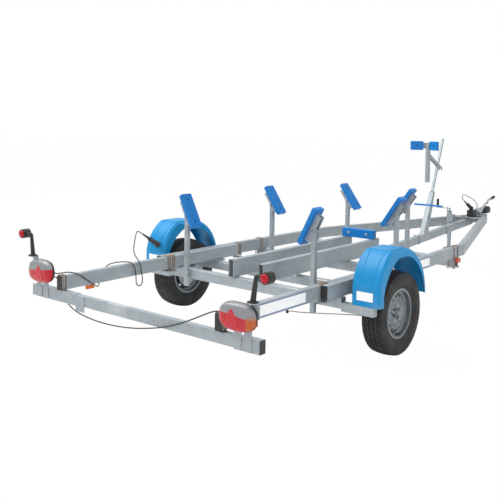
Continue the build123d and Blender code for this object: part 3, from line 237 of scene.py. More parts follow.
def plasticFinish(name, main, worn, rough, dusty=False):
    shader = Shader(name)
    clouds = shader.noise(5.0, 4.0)
    scuffs = shader.step(shader.noise(34.0, 5.0, (1, 1, 3)), 0.62, 0.75)
    grain = shader.noise(900.0, 2.0)
    colour = shader.mix(0.25 * clouds + 0.30 * scuffs, finishes[main], finishes[worn])
    roughness = rough + 0.12 * scuffs + 0.08 * clouds
    if dusty:
        height = shader.axes()[2]
        low = (1 - shader.step(height, 0.40, 0.62)) * 0.16 * shader.step(shader.noise(14.0, 6.0), 0.4, 0.7)
        colour = shader.mix(low, colour, finishes["dust"])
    return shader.set(
        Base_Color=colour,
        Roughness=roughness,
        Specular_IOR_Level=0.22,
        Normal=shader.bump(grain, 0.10, 0.0004),
    )


def rubberFinish(name, dusty=0.5, rough=0.62):
    shader = Shader(name)
    clouds = shader.noise(11.0, 6.0)
    grain = shader.noise(420.0, 3.0)
    mask = shader.step(clouds, 0.35, 0.75) * dusty
    return shader.set(
        Base_Color=shader.mix(mask, finishes["rubber"], finishes["rubberDusty"]),
        Roughness=rough + 0.20 * clouds,
        Normal=shader.bump(grain, 0.25, 0.0006),
    )


def rimFinish():
    shader = Shader("wheelSilver")
    clouds = shader.noise(16.0, 5.0)
    flake = shader.noise(1400.0, 2.0)
    grime = shader.step(shader.noise(30.0, 6.0), 0.52, 0.72) * 0.30
    silver = shader.mix(0.35 * clouds, finishes["silver"], finishes["steelLight"])
    return shader.set(
        Base_Color=shader.mix(grime, silver, finishes["dust"]),
        Metallic=0.55,
        Roughness=0.34 + 0.18 * clouds,
        Normal=shader.bump(flake, 0.08, 0.0003),
    )


def zincFinish():
    shader = Shader("yellowZinc")
    clouds = shader.noise(60.0, 5.0)
    return shader.set(
        Base_Color=shader.mix(clouds, finishes["zinc"], finishes["zincPale"]),
        Metallic=0.6,
        Roughness=0.42 + 0.2 * clouds,
        Normal=shader.bump(shader.noise(500.0), 0.2, 0.0004),
    )


def lensFinish(name, colour):
    shader = Shader(name)
    wave = shader.wave("Y", finishes["ribScale"])
    dark = rgba(*(0.4 * part for part in finishes[colour][:3]))
    shade = shader.mix(0.45 * wave, finishes[colour], dark)
    return shader.set(
        Base_Color=shade,
        Roughness=0.14 + 0.08 * wave,
        Specular_IOR_Level=0.35,
        Normal=shader.bump(wave, 0.35, 0.0012),
    )


def lampLensFinish():  # red below, smoked above, dim amber low at the outer end
    shader = Shader("lampLens")
    across, up = shader.axes()[1:]
    outward = shader.node("ShaderNodeMath", {"operation": "ABSOLUTE"}, {0: across}) - lamp["y"] * mm
    height = up - lamp["z"] * mm
    wave = shader.wave("Y", 45.0)
    cells = shader.noise(70.0, 4.0)
    smoke = shader.mix(0.5 * cells + 0.25 * wave, finishes["smokeLight"], finishes["smokeDark"])
    low = 1 - shader.step(height + 0.10 * outward, lamp["redTop"] * mm, (lamp["redTop"] + 2) * mm)
    end = shader.step(outward, lamp["amberFrom"] * mm, (lamp["amberFrom"] + 2) * mm)
    redPart = shader.mix(0.35 * wave + 0.25 * cells, finishes["lampRed"], finishes["lampRedDark"])
    colour = shader.mix(low, smoke, redPart)
    amberPart = shader.mix(0.4 * wave, finishes["lampAmber"], finishes["lampAmberDark"])
    return shader.set(
        Base_Color=shader.mix(0.7 * end * (1 - shader.step(height, 0.0, 0.030)), colour, amberPart),
        Roughness=0.12 + 0.10 * wave,
        Specular_IOR_Level=0.45,
        Normal=shader.bump(wave, 0.3, 0.001),
    )


def sideMarkerFinish():  # amber at the tail, red-orange on the mudguards and the front crossbeam
    shader = Shader("sideMarkerLens")
    forward = shader.step(shader.axes()[0], axleX - 0.9, axleX - 0.7)
    wave = shader.wave("X", 40.0)
    colour = shader.mix(forward, finishes["amber"], finishes["markerRed"])
    return shader.set(
        Base_Color=shader.mix(0.25 * wave, colour, finishes["markerDark"]),
        Roughness=0.14 + 0.1 * wave,
        Normal=shader.bump(wave, 0.3, 0.001),
    )


def reflectorFinish():
    shader = Shader("reflectorRed")
    cells = shader.tree.nodes.new("ShaderNodeTexVoronoi")
    shader.feed(cells.inputs["Vector"], shader.place())
    cells.inputs["Scale"].default_value = 260.0
    facets = Value(shader, cells.outputs[0])
    shade = shader.mix(facets, finishes["reflector"], finishes["reflectorDark"])
    return shader.set(Base_Color=shade, Roughness=0.12, Normal=shader.bump(facets, 0.4, 0.001))


def plateFinish(name, colour, rough=0.35):
    shader = Shader(name)
    clouds = shader.noise(20.0, 5.0)
    shade = shader.mix(0.12 * clouds, finishes[colour], finishes["dust"])
    relief = shader.bump(clouds, 0.05, 0.0005)
    return shader.set(Base_Color=shade, Roughness=rough + 0.1 * clouds, Normal=relief)


lamp = {  # tail lamps: places of the CAD solids, and the lens's own sizes
    "back": -1530.0,
    "y": 915.0,
    "z": 552.0,
    "width": 262.0,
    "height": 165.0,
    "base": 16.0,
    "depth": 62.0,
    "redTop": 12.0,
    "amberFrom": 84.0,
    "triangle": 54.0,
    "triangleIn": 18.0,
    "triangleDown": 12.0,
    "cornerSpread": 9.0,
    "glandOut": 122.0,
    "glandBack": 8.0,
    "lensShare": 0.985,
    "lensRows": 10,
}
lampLens = lampLensFinish()
reflectorRed = reflectorFinish()
steel = steelFinish("galvanisedSteel")
paleSteel = steelFinish("galvanisedPlate", 0.35)
padPlastic = plasticFinish("padPlastic", "padBlue", "padWorn", 0.36)
guardPlastic = plasticFinish("guardPlastic", "guardBlue", "guardPale", 0.30, True)
tyreRubber = rubberFinish("tyreRubber", 0.75)
softRubber = rubberFinish("softRubber", 0.25, 0.5)
blackPlastic = rubberFinish("blackPlastic", 0.2, 0.42)
rimSilver = rimFinish()
zinc = zincFinish()
redLens = lensFinish("redLens", "red")
clearLens = lensFinish("clearLens", "clear")
sideMarkerLens = sideMarkerFinish()
labelWhite = plateFinish("labelWhite", "white")
labelBlue = plateFinish("labelBlue", "inkBlue")
cableRubber = rubberFinish("cableRubber", 0.3, 0.45)
brakeRed = plateFinish("brakeCableRed", "zinc", 0.5)
print("finishes ready")

nodeFinish = {
    "pad_": padPlastic,
    "bow_pads": padPlastic,
    "keel_pad": padPlastic,
    "bow_rod": padPlastic,
    "mudguard_left": guardPlastic,
    "mudguard_right": guardPlastic,
    "tyre": tyreRubber,
    "jockey_wheel": tyreRubber,
    "rim": rimSilver,
    "drum": blackPlastic,
    "end_caps": blackPlastic,
    "gaiter": softRubber,
    "coupling_head": blackPlastic,
    "plug": blackPlastic,
    "marker_lamps": softRubber,
    "side_markers": sideMarkerLens,
    "tail_lamps": blackPlastic,
    "handbrake_lever": paleSteel,
    "pad_channels": steel,
    "keel_pad_bracket": steel,
}
for nodeName, node in nodes.items():
    finish = steel
    longest = 0
    for prefix, candidate in nodeFinish.items():
        if nodeName.startswith(prefix) and len(prefix) > longest:
            finish = candidate
            longest = len(prefix)
    node.data.materials.clear()
    node.data.materials.append(finish)


# Mesh tools
def finishPiece(name, mesh, materials, body="frame", smooth=40.0):
    bm = bmesh.new()
    bm.from_mesh(mesh)
    bmesh.ops.recalc_face_normals(bm, faces=bm.faces)
    for edge in bm.edges:
        edge.smooth = len(edge.link_faces) == 2 and edge.calc_face_angle(0) < radians(smooth)
    for face in bm.faces:
        face.smooth = True
    bm.to_mesh(mesh)
    bm.free()
    for material in materials:
        mesh.materials.append(material)
    piece = bpy.data.objects.new(name, mesh)
    bpy.context.collection.objects.link(piece)
    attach(piece, body)
    return piece


class Build:  # gathers vertices and faces of one joined piece
    def __init__(self):
        self.points = []
        self.faces = []
        self.tints = []

    def loft(self, loops, tint=0, caps=True, closed=True):
        start = len(self.points)
        count = len(loops[0])
        for loop in loops:
            self.points.extend(loop)
        for row in range(len(loops) - 1):
            for index in range(count if closed else count - 1):
                nxt = (index + 1) % count
                base = start + row * count
                self.faces.append((base + index, base + nxt, base + count + nxt, base + count + index))
                self.tints.append(tint)
        if caps:
            last = start + (len(loops) - 1) * count
            self.faces.append(tuple(range(start + count - 1, start - 1, -1)))
            self.faces.append(tuple(range(last, last + count)))
            self.tints.extend((tint, tint))

    def tube(self, points, radius, count=8, tint=0):
        points = [Vector(point) for point in points]
        loops = []
        side = None
        for index, point in enumerate(points):
            before = points[max(index - 1, 0)]
            after = points[min(index + 1, len(points) - 1)]
            along = (after - before).normalized()
            if side is None:
                side = along.orthogonal().normalized()
            side = (side - along * side.dot(along)).normalized()
            other = along.cross(side)
            loops.append([point + radius * (cos(a) * side + sin(a) * other) for a in ring(count)])
        self.loft(loops, tint)

    def turned(self, origin, axis, profile, count=16, tint=0, phase=0.0):  # profile: (distance, radius)
        axis = Vector(axis).normalized()
        side = axis.orthogonal().normalized()
        other = axis.cross(side)
        loops = []
        for distance, radius in profile:
            middle = Vector(origin) + axis * distance
            turns = [a + phase for a in ring(count)]
            loops.append([middle + radius * (cos(a) * side + sin(a) * other) for a in turns])
        self.loft(loops, tint)

    def bolt(self, origin, axis, size=0.013, tint=0, turn=None):
        washer = [(0, size * 0.92), (0.0016, size * 0.92), (0.0020, size * 0.88)]
        self.turned(origin, axis, washer, 16, tint)
        spin = random.uniform(0, pi) if turn is None else turn
        head = [(0.002, size * 0.58), (size * 0.42, size * 0.58), (size * 0.50, size * 0.50)]
        self.turned(origin, axis, head, 6, tint, spin)

    def block(self, low, high, bevel=0.002, tint=0):
        low, high = Vector(low), Vector(high)
        loops = []
        for z, inset in ((low.z, bevel), (low.z + bevel, 0), (high.z - bevel, 0), (high.z, bevel)):
            x0, x1, y0, y1 = low.x + inset, high.x - inset, low.y + inset, high.y - inset
            loops.append([Vector(corner) for corner in ((x0, y0, z), (x1, y0, z), (x1, y1, z), (x0, y1, z))])
        self.loft(loops, tint)

    def make(self, name, materials, body="frame", smooth=40.0):
        mesh = bpy.data.meshes.new(name)
        mesh.from_pydata([tuple(point) for point in self.points], [], self.faces)
        for polygon, tint in zip(mesh.polygons, self.tints):
            polygon.material_index = tint
        return finishPiece(name, mesh, materials, body, smooth)


def ring(count):
    return [2 * pi * index / count for index in range(count)]


# Cords: each route repeats its solid's points
cords = {
    "tailCable": {
        "node": "tail_cable",
        "diameter": 8,
        "length": 1.81,
        "farEnd": "object",
        "lay": "hanging",
        "route": [
            (-1512, 850, 510), (-1484, 850, 510), (-1460, 846, 488), (-1453, 832, 448), (-1454, 806, 406),
            (-1460, 768, 368), (-1470, 723, 338), (-1484, 660, 318), (-1500, 575, 305), (-1512, 480, 297),
            (-1520, 380, 292), (-1527, 280, 291), (-1532, 180, 296), (-1536, 85, 303), (-1539, -8, 314),
            (-1541, -100, 329), (-1542, -190, 347), (-1543, -278, 367), (-1544, -360, 391),
            (-1545, -440, 419), (-1545, -525, 455), (-1544, -605, 492), (-1543, -672, 524),
            (-1541, -718, 544),
            (-1538, -752, 552), (-1538, -777.5, 552),
        ],
    },
    "leftLead": {
        "node": "lead_left",
        "diameter": 8,
        "length": 1.895,
        "farEnd": "plug",
        "lay": "loose",
        "route": [
            (-1538, 777.5, 552), (-1538, 756, 552), (-1528, 734, 557), (-1500, 718, 560), (-1459, 712, 557),
            (-1415, 710, 543), (-1373, 711, 522), (-1328, 712, 490), (-1284, 710, 458), (-1250, 707, 434),
            (-1222, 711, 416), (-1196, 730, 413), (-1172, 754, 412), (-1150, 777, 419), (-1130, 791, 449),
            (-1110, 791, 487), (-1088, 788, 524), (-1058, 776, 549), (-1018, 762, 556), (-975, 745, 557),
            (-932, 726, 556), (-900, 708, 546), (-878, 702, 520), (-862, 703, 488), (-855, 706, 454),
            (-850, 708, 416), (-850, 706, 379), (-838, 705, 362), (-818, 704, 355), (-798, 704, 362),
            (-786, 705, 379), (-787, 706, 410), (-791, 707, 440), (-799, 706, 476), (-811, 705, 517),
            (-828, 708, 556), (-842, 726, 586), (-832, 757, 612), (-800, 795, 635), (-755, 840, 655),
            (-702, 893, 672), (-648, 947, 686), (-595, 1000, 697), (-545, 1047, 704), (-498, 1088.5, 703),
            (-484, 1093.5, 699), (-470, 1093, 692.5), (-458.5, 1086.5, 684.5), (-452, 1075, 676),
        ],
    },
    "noseLead": {
        "node": "lead_nose",
        "diameter": 8,
        "length": 0.485,
        "farEnd": "plug",
        "lay": "loose",
        "route": [
            (4060, 8, 630), (4060, 8, 655), (4043, 16, 682), (4013, 24, 712), (3970, 32, 736),
            (3922, 40, 755), (3872, 47, 773), (3822, 53, 790), (3774, 58, 800), (3733, 61, 797),
            (3707, 55, 772),
            (3710.2, 43.1, 746.7), (3722, 30, 729),
        ],
    },
    "brakeCable": {
        "node": "brake_cable",
        "diameter": 6,
        "length": 0.896,
        "farEnd": "object",
        "lay": "hanging",
        "route": [
            (-884, -765, 424), (-850, -765, 424), (-808, -775, 410), (-755, -786, 399), (-693, -800, 386),
            (-625, -815, 373), (-558, -831, 360), (-487, -847, 347), (-418, -862, 334), (-352, -875, 321),
            (-291, -888, 309), (-232, -901, 297), (-177, -917, 282), (-128, -932, 262), (-76, -947, 243),
            (-64, -957, 238.5), (-60, -970, 236), (-60, -985.5, 236),
        ],
    },
}


def layCord(name, facts, material):
    curve = bpy.data.curves.new(name, "CURVE")
    curve.dimensions = "3D"
    spline = curve.splines.new("NURBS")
    spline.points.add(len(facts["route"]) - 1)
    for point, place in zip(spline.points, facts["route"]):
        point.co = (*at(*place), 1.0)
    spline.order_u = 3
    spline.use_endpoint_u = True
    spline.resolution_u = 6
    curve.bevel_depth = facts["diameter"] / 2 * mm
    curve.bevel_resolution = 3
    curve.use_fill_caps = True
    curve.materials.append(material)
    piece = bpy.data.objects.new(name, curve)
    bpy.context.collection.objects.link(piece)
    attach(piece, "frame")
    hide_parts(facts["node"])
    tuple(at(*facts["route"][0]))


layCord("tailCable", cords["tailCable"], cableRubber)
layCord("leftLead", cords["leftLead"], cableRubber)
layCord("noseLead", cords["noseLead"], cableRubber)
layCord("brakeCable", cords["brakeCable"], brakeRed)
print("cords laid")

# Tyres with tread
tyre = {
    "radius": 297.0,
    "crown": 8.0,
    "treadHalf": 74.0,
    "columns": 50,
    "segments": 360,
    "grooves": (-47.0, -17.0, 17.0, 47.0),
    "grooveHalf": 3.6,
    "grooveDepth": 7.5,
    "zigzag": 4.0,
    "zigzags": 45,
    "sipes": 90,
    "sipeLean": 0.010,
    "shoulder": 50.0,
    "shoulderCut": (0.26, 6.0),  # share of the pitch, depth
    "middleCut": (0.14, 3.5),
    "wheelY": 1032.0,
    "sidewall": [  # radius, distance from the middle plane
        (166, 57.5), (176, 58), (181, 62), (188, 68), (197, 73), (200, 76), (212, 80), (214, 82),
        (226, 84.5), (240, 85), (252, 84), (255, 85), (258, 83.2), (270, 80.5), (280, 78), (285, 76.5),
    ],
}


def treadDepth(y, turn):
    wave = abs((turn * tyre["zigzags"]) % 1 - 0.5) * 4 - 1
    for groove in tyre["grooves"]:
        if abs(y - groove - tyre["zigzag"] * wave) < tyre["grooveHalf"]:
            return tyre["grooveDepth"]
    cut = (turn * tyre["sipes"] + tyre["sipeLean"] * y) % 1
    if abs(y) > tyre["shoulder"] and cut < tyre["shoulderCut"][0]:
        return tyre["shoulderCut"][1]
    return tyre["middleCut"][1] if cut < tyre["middleCut"][0] else 0.0


def makeTyre(sideName, side):
    profile = [(radius, -half) for radius, half in tyre["sidewall"]]
    columns = tyre["columns"]
    for index in range(columns + 1):
        y = tyre["treadHalf"] * (2 * index / columns - 1)
        profile.append((tyre["radius"] - tyre["crown"] * (y / tyre["treadHalf"]) ** 2, y))
    profile += [(radius, half) for radius, half in reversed(tyre["sidewall"])]
    firstTread = len(tyre["sidewall"])
    loops = []
    for segment in range(tyre["segments"]):
        turn = segment / tyre["segments"]
        loop = []
        for index, (radius, y) in enumerate(profile):
            if firstTread <= index <= firstTread + columns:
                radius -= treadDepth(y, turn)
            angle = 2 * pi * turn
            x, z = radius * sin(angle), tyre["radius"] + radius * cos(angle)
            loop.append(at(x, side * tyre["wheelY"] + y, z))
        loops.append(loop)
    loops.append(loops[0])
    build = Build()
    build.loft(loops, closed=True, caps=False)
    piece = build.make(f"tyre_tread_{sideName}", [tyreRubber], f"wheel_{sideName}", 35)
    bm = bmesh.new()
    bm.from_mesh(piece.data)
    bmesh.ops.remove_doubles(bm, verts=bm.verts, dist=0.00001)
    bmesh.ops.recalc_face_normals(bm, faces=bm.faces)
    bm.to_mesh(piece.data)
    bm.free()
    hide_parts(f"tyre_{sideName}")


for sideName, side in sides:
    makeTyre(sideName, side)
print("tyres treaded")

# Wheel nuts, grease caps and valves
wheel = {"face": 1057.0, "disc": 5.0, "studCircle": 56.0, "studs": 5, "nut": 21.0, "centreZ": 297.0}


def makeWheelDetail(sideName, side):
    build = Build()
    out = (0, side, 0)
    face = side * (wheel["face"] + wheel["disc"])
    for index in range(wheel["studs"]):
        angle = pi / 2 + 2 * pi * index / wheel["studs"]
        x, z = wheel["studCircle"] * cos(angle), wheel["centreZ"] + wheel["studCircle"] * sin(angle)
        nut = [(0, 0.0125), (0.003, 0.0125), (0.003, 0.0100), (0.013, 0.0100), (0.016, 0.0085)]
        build.turned(at(x, face, z), out, nut, 6, 0)
    cap = [(0.006, 0.033), (0.010, 0.034), (0.014, 0.032), (0.030, 0.029), (0.038, 0.024), (0.041, 0.012)]
    build.turned(at(0, face, wheel["centreZ"]), out, cap, 32, 1)
    valve = [(-0.004, 0.006), (0.010, 0.005), (0.022, 0.004), (0.030, 0.0035)]
    build.turned(at(0, side * 1072, wheel["centreZ"] - 148), (0, side, 0.35), valve, 12, 2)
    piece = build.make(f"wheel_nuts_{sideName}", [paleSteel, rimSilver, blackPlastic], f"wheel_{sideName}")


for sideName, side in sides:
    makeWheelDetail(sideName, side)

# Tail lamps: domed lens over a black base, with a triangle reflector
def ovalLoop(x, y, z, width, height, power=2.6, count=72):
    loop = []
    for a in ring(count):
        cy, cz = cos(a), sin(a)
        scale = (abs(cy) ** power + abs(cz) ** power) ** (-1 / power)
        loop.append(at(x, y + width / 2 * scale * cy, z + height / 2 * scale * cz))
    return loop


def makeTailLamp(sideName, side):
    y, z = side * lamp["y"], lamp["z"]
    shell = Build()
    back = lamp["back"]
    rows = ((0, 0.94), (3, 0.96), (12, 0.96), (13, 1.0), (18, 1.0), (19, 0.985))
    shell.loft([ovalLoop(back - d, y, z, lamp["width"] * s, lamp["height"] * s) for d, s in rows])
    gland = [(0, 0.0075), (0.006, 0.0075), (0.008, 0.006), (0.0145, 0.0055)]
    glandFoot = at(back - lamp["glandBack"], y - side * lamp["glandOut"], z)
    shell.turned(glandFoot, (0, -side, 0), gland, 16)
    base = shell.make(f"tail_lamp_base_{sideName}", [blackPlastic])
    lens = Build()
    start = back - lamp["base"] - 2
    reach = lamp["depth"] - lamp["base"] - 2
    loops = []
    for index in range(lamp["lensRows"] + 1):
        lift = index / lamp["lensRows"] * pi / 2
        size = 0.30 + 0.70 * cos(lift) ** 0.42 if index < lamp["lensRows"] else 0.30
        width, height = (lamp[key] * size * lamp["lensShare"] for key in ("width", "height"))
        loops.append(ovalLoop(start - reach * sin(lift), y, z, width, height))
    lens.loft(loops)
    dome = lens.make(f"tail_lamp_lens_{sideName}", [lampLens])
    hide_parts("tail_lamps")
    reflector = Build()
    size = lamp["triangle"]
    corners = [90 + 120 * corner for corner in range(3)]
    face = start - reach
    middleY, middleZ = y - side * lamp["triangleIn"], z - lamp["triangleDown"]
    loops = []
    for x, grow in ((face + 14, 1.06), (face - 1, 1.06), (face - 2.5, 1.0)):
        loop = []
        for angle in corners:
            for spread in (-lamp["cornerSpread"], lamp["cornerSpread"]):
                turn = radians(angle + spread)
                loop.append(at(x, middleY + size * grow * cos(turn), middleZ + size * grow * sin(turn)))
        loops.append(loop)
    reflector.loft(loops)
    prism = reflector.make(f"tail_lamp_reflector_{sideName}", [reflectorRed], smooth=20)


for sideName, side in sides:
    makeTailLamp(sideName, side)

# Lenses of the rubber marker lamps
marker = {"x": -1551.0, "y": 1120.0, "z": 796.5, "radius": 27.0, "half": 28.0}


def makeMarkerLens(sideName, side):
    lenses = Build()
    for tint, direction in ((0, -1), (1, 1)):
        start = at(marker["x"] + direction * (marker["half"] - 2), side * marker["y"], marker["z"])
        rows = [(0, 1.0), (6, 1.0), (11, 0.9), (14, 0.7), (16, 0.35)]
        profile = [(distance * mm, share * marker["radius"] * mm) for distance, share in rows]
        lenses.turned(start, (direction, 0, 0), profile, 28, tint)
    piece = lenses.make(f"marker_lenses_{sideName}", [redLens, clearLens])


for sideName, side in sides:
    makeMarkerLens(sideName, side)
print("lamps made")

# U-bolts over the rails, with their plates and nuts
rails = {
    "top": 535.0,
    "rod": 4.0,
    "corner": 9.0,
    "thread": 15.0,
    "plate": 5.0,
    "margin": 12.0,
    "nut": 0.017,
}
uBolts = [  # x, middle y, half width, lowest z
    (-1512, 745, 25, 431),
    (-1488, 745, 25, 431),
    (-500, 745, 25, 420),
    (-478, 745, 25, 420),
    (-450, 745, 25, 420),
    (-428, 745, 25, 420),
    (380, 745, 25, 420),
    (404, 745, 25, 420),
    (750, 796, 25, 340),
    (776, 794, 25, 340),
    (1583, 767, 25, 355),
    (1665, 765, 25, 355),
]


def makeUBolts():
    build = Build()
    rod = rails["rod"]
    for x, middle, half, low in uBolts:
        for side in (1, -1):
            reach = half + rod
            top = rails["top"] + rod
            corner = rails["corner"]
            path = [(-reach, low - rails["thread"]), (-reach, top - corner)]
            for step in range(1, 4):
                angle = step / 4 * pi / 2
                path.append((-reach + corner * (1 - cos(angle)), top - corner * (1 - sin(angle))))
            path.append((-reach + corner, top))
            path += [(-py, pz) for py, pz in reversed(path)]
            build.tube([at(x, side * middle + py, pz) for py, pz in path], rod * mm, 8, 0)
            for end in (-reach, reach):
                build.bolt(at(x, side * middle + end, low - rails["plate"]), (0, 0, -1), rails["nut"], 1)
            edge, wide = rails["margin"], reach + rails["margin"]
            lowCorner = at(x - edge, side * middle - wide, low - rails["plate"])
            highCorner = at(x + edge, side * middle + wide, low)
            build.block(lowCorner, highCorner, 0.001, 1)
    piece = build.make("rail_u_bolts", [zinc, steel])


makeUBolts()

# Post clamps: a U-bolt round each post through its crossbeam, twice
posts = [  # crossbeam's rear face, distance from the middle, tilt of the pad
    (-369, 619, 27),
    (783, 646, 34),
    (1594, 328, 36),
]
clamp = {
    "heights": (376, 414),
    "half": 22.5,
    "back": 40,
    "reach": 72,
    "rod": 0.0045,
    "nutAt": 60,
    "nut": 0.016,
}


def makePostClamps():
    build = Build()
    for beamX, postY, _ in posts:
        for side in (1, -1):
            for z in clamp["heights"]:
                left, right = side * postY - clamp["half"], side * postY + clamp["half"]
                back = beamX - clamp["back"]
                front = beamX + clamp["reach"]
                path = [(front, left), (back + 8, left), (back + 2, left + 2), (back, left + 8)]
                path += [(px, left + right - py) for px, py in reversed(path)]
                build.tube([at(px, py, z) for px, py in path], clamp["rod"], 8, 0)
                for y in (left, right):
                    build.bolt(at(beamX + clamp["nutAt"], y, z), (1, 0, 0), clamp["nut"], 1)
    piece = build.make("post_clamps", [steel, zinc])


makePostClamps()

# Screws of the pads, pivot nuts and keel pad screws
pad = {
    "postTop": 890,
    "postHalf": 17.5,
    "backAt": 19,
    "faceAt": 53,
    "hole": 95,
    "recess": 12,
    "pivotDrop": 22,
    "pivotReach": 22,
    "keelScrew": (1220, 95, 616),
}


def makePadScrews():
    build = Build()
    for beamX, postY, tilt in posts:
        for side in (1, -1):
            lean = radians(tilt)
            out = Vector((0, -side * cos(lean), sin(lean)))
            along = Vector((0, side * sin(lean), cos(lean)))
            root = at(beamX - pad["postHalf"], side * postY, pad["postTop"])
            for hole in (-pad["hole"], pad["hole"]):
                head = root + along * hole * mm + out * (pad["faceAt"] - pad["recess"]) * mm
                build.turned(head, out, [(-0.006, 0.0078), (0.002, 0.0078), (0.004, 0.006)], 16, 1)
                tail = root + along * hole * mm + out * pad["backAt"] * mm
                build.bolt(tail, -out, 0.017, 0)
            for direction in (1, -1):
                pin = at(beamX - pad["postHalf"], side * postY, pad["postTop"] - pad["pivotDrop"])
                reach = Vector((direction * pad["pivotReach"] * mm, 0, 0))
                build.bolt(pin + reach, (direction, 0, 0), 0.019, 0)
    x, half, z = pad["keelScrew"]
    for y in (-half, half):
        build.turned(at(x, y, z), (-1, 0, 0), [(-0.002, 0.013), (0.002, 0.013), (0.004, 0.010)], 20, 0)
    piece = build.make("pad_screws", [steel, blackPlastic])


makePadScrews()

# Blank labels on rails and mudguards
label = {
    "spots": [((-1290, 770.4), (-690, 770.4)), ((620, 822.6), (1060, 809.9))],  # x, y of both ends
    "low": 447,
    "high": 523,
    "layers": ((0, 0.2, 0), (5, 0.5, 1)),  # inset, thickness, tint
    "plateX": (-366.2, -367.4),
    "plate": ((960, 440), (1085, 440), (1085, 500), (960, 500)),
}


def makeLabels():
    build = Build()
    for side in (1, -1):
        for (x0, y0), (x1, y1) in label["spots"]:
            for inset, lift, tint in label["layers"]:
                start, end = x0 + inset, x1 - inset
                low, high = label["low"] + inset, label["high"] - inset
                corners = ((start, y0, low), (end, y1, low), (end, y1, high), (start, y0, high))
                loops = []
                for depth in (0.0, lift):
                    loops.append([at(px, side * (py + depth), pz) for px, py, pz in corners])
                build.loft(loops, tint)
        build.loft([[at(x, side * y, z) for y, z in label["plate"]] for x in label["plateX"]], 1)
    piece = build.make("blank_labels", [labelBlue, labelWhite], smooth=10)


makeLabels()

# Raised ribs down the mudguards' slopes
guard = {
    "middleY": 1026.0,
    "spreadTop": 58.0,
    "spreadFoot": 40.0,
    "ribHalf": 5.0,
    "ribHeight": 3.0,
    "ribSteps": 28,
    "ribSunk": -2.0,
    "slopes": [  # three points of each slope's arc, from the foot up to the crown
        ((-366, 525), (-310, 665), (-200, 764)),
        ((268, 600), (165, 708), (10, 764)),
    ],
}


def arcThrough(first, second, third):  # centre, radius and the two end angles
    (ax, az), (bx, bz), (cx, cz) = first, second, third
    doubled = 2 * (ax * (bz - cz) + bx * (cz - az) + cx * (az - bz))
    squares = [x * x + z * z for x, z in (first, second, third)]
    x = (squares[0] * (bz - cz) + squares[1] * (cz - az) + squares[2] * (az - bz)) / doubled
    z = (squares[0] * (cx - bx) + squares[1] * (ax - cx) + squares[2] * (bx - ax)) / doubled
    return x, z, hypot(ax - x, az - z), atan2(az - z, ax - x), atan2(cz - z, cx - x)


def makeGuardRibs(sideName, side):
    build = Build()
    for slope in guard["slopes"]:
        x, z, radius, foot, crown = arcThrough(*slope)
        for spread in (-1, 1):
            loops = []
            for step in range(guard["ribSteps"] + 1):
                share = step / guard["ribSteps"]
                turn = foot + (crown - foot) * share
                width = guard["spreadFoot"] + (guard["spreadTop"] - guard["spreadFoot"]) * share
                rise = guard["ribHeight"] * min(1, 5 * share)
                loop = []
                sunk = guard["ribSunk"]
                for part, lift in ((-1.0, sunk), (-0.5, rise), (0.5, rise), (1.0, sunk)):
                    y = guard["middleY"] + spread * width + part * 2 * guard["ribHalf"]
                    reach = radius + lift
                    loop.append(at(x + reach * cos(turn), side * y, z + reach * sin(turn)))
                loops.append(loop)
            build.loft(loops)
    piece = build.make(f"mudguard_ribs_{sideName}", [guardPlastic])


for sideName, side in sides:
    makeGuardRibs(sideName, side)


# Grips and knobs
lever = {
    "tip": (4457, 735),
    "middleY": -50,
    "slope": 0.135,
    "rings": (  # distance from the tip, half width, half height
        (118, 13.3, 17.3), (100, 14.6, 18.4), (60, 13.8, 17.6),
        (20, 14.6, 18.4), (2, 13.8, 17.4), (-0.2, 9, 12),
    ),
}
crank = {
    "knobFoot": (3412, 226, 667.5),
    "knob": (  # distance, radius
        (0.0, 0.0138), (0.004, 0.0150), (0.050, 0.0138),
        (0.090, 0.0150), (0.0960, 0.0120), (0.0985, 0.0050),
    ),
}


def makeGrips():
    sleeve = Build()
    slope = lever["slope"]
    loops = []
    for reach, across, tall in lever["rings"]:
        x = lever["tip"][0] - reach * cos(slope)
        z = lever["tip"][1] - reach * sin(slope)
        loop = []
        for a in ring(24):
            up = tall * sin(a)
            loop.append(at(x - up * sin(slope), lever["middleY"] + across * cos(a), z + up * cos(slope)))
        loops.append(loop)
    sleeve.loft(loops)
    grip = sleeve.make("handbrake_grip", [softRubber], "handbrake")
    knob = Build()
    knob.turned(at(*crank["knobFoot"]), (0, 0, 1), crank["knob"], 24)
    crankKnob = knob.make("jockey_crank_knob", [blackPlastic], "jockey_column")


makeGrips()


# Bolts and handles about the coupling, spine, bow post and jockey clamp
nose = {
    "housingBolts": ((3740, 36, 543), (3695, 36, 543), (4020, 36, 543), (4080, 36, 543), (3895, 34, 555)),
    "railBolts": ((3690, 168), (3750, 150), (4020, 70), (4080, 50)),
    "railBoltZ": 543,
    "clampX": (3395, 3429),
    "clampY": 33,
    "clampZ": (535, 578),
    "handle": ((3450, 100, 560), (3462, 118, 578), (3466, 128, 612), (3466, 130, 672)),
    "handleBoss": (3443, 92, 552),
    "spineClamps": (2440, 3120),
    "spineRear": (1654, 415),  # where the spine starts, and its top there
    "spineSlope": 0.0524,
    "spineHalf": 29,
    "spineRod": 0.0045,
    "spineRodTop": 3.5,
    "spineRodFoot": 84,
    "bowPins": ((2682, 1298), (2862, 1206)),
    "bowPinY": 16.8,
    "latch": ((4255, 0, 628), (4285, 0, 652), (4330, 0, 664), (4378, 0, 660)),
    "latchFoot": (4262, 0, 600),
    "bands": (4135, 4236),
    "bandZ": 583,
}


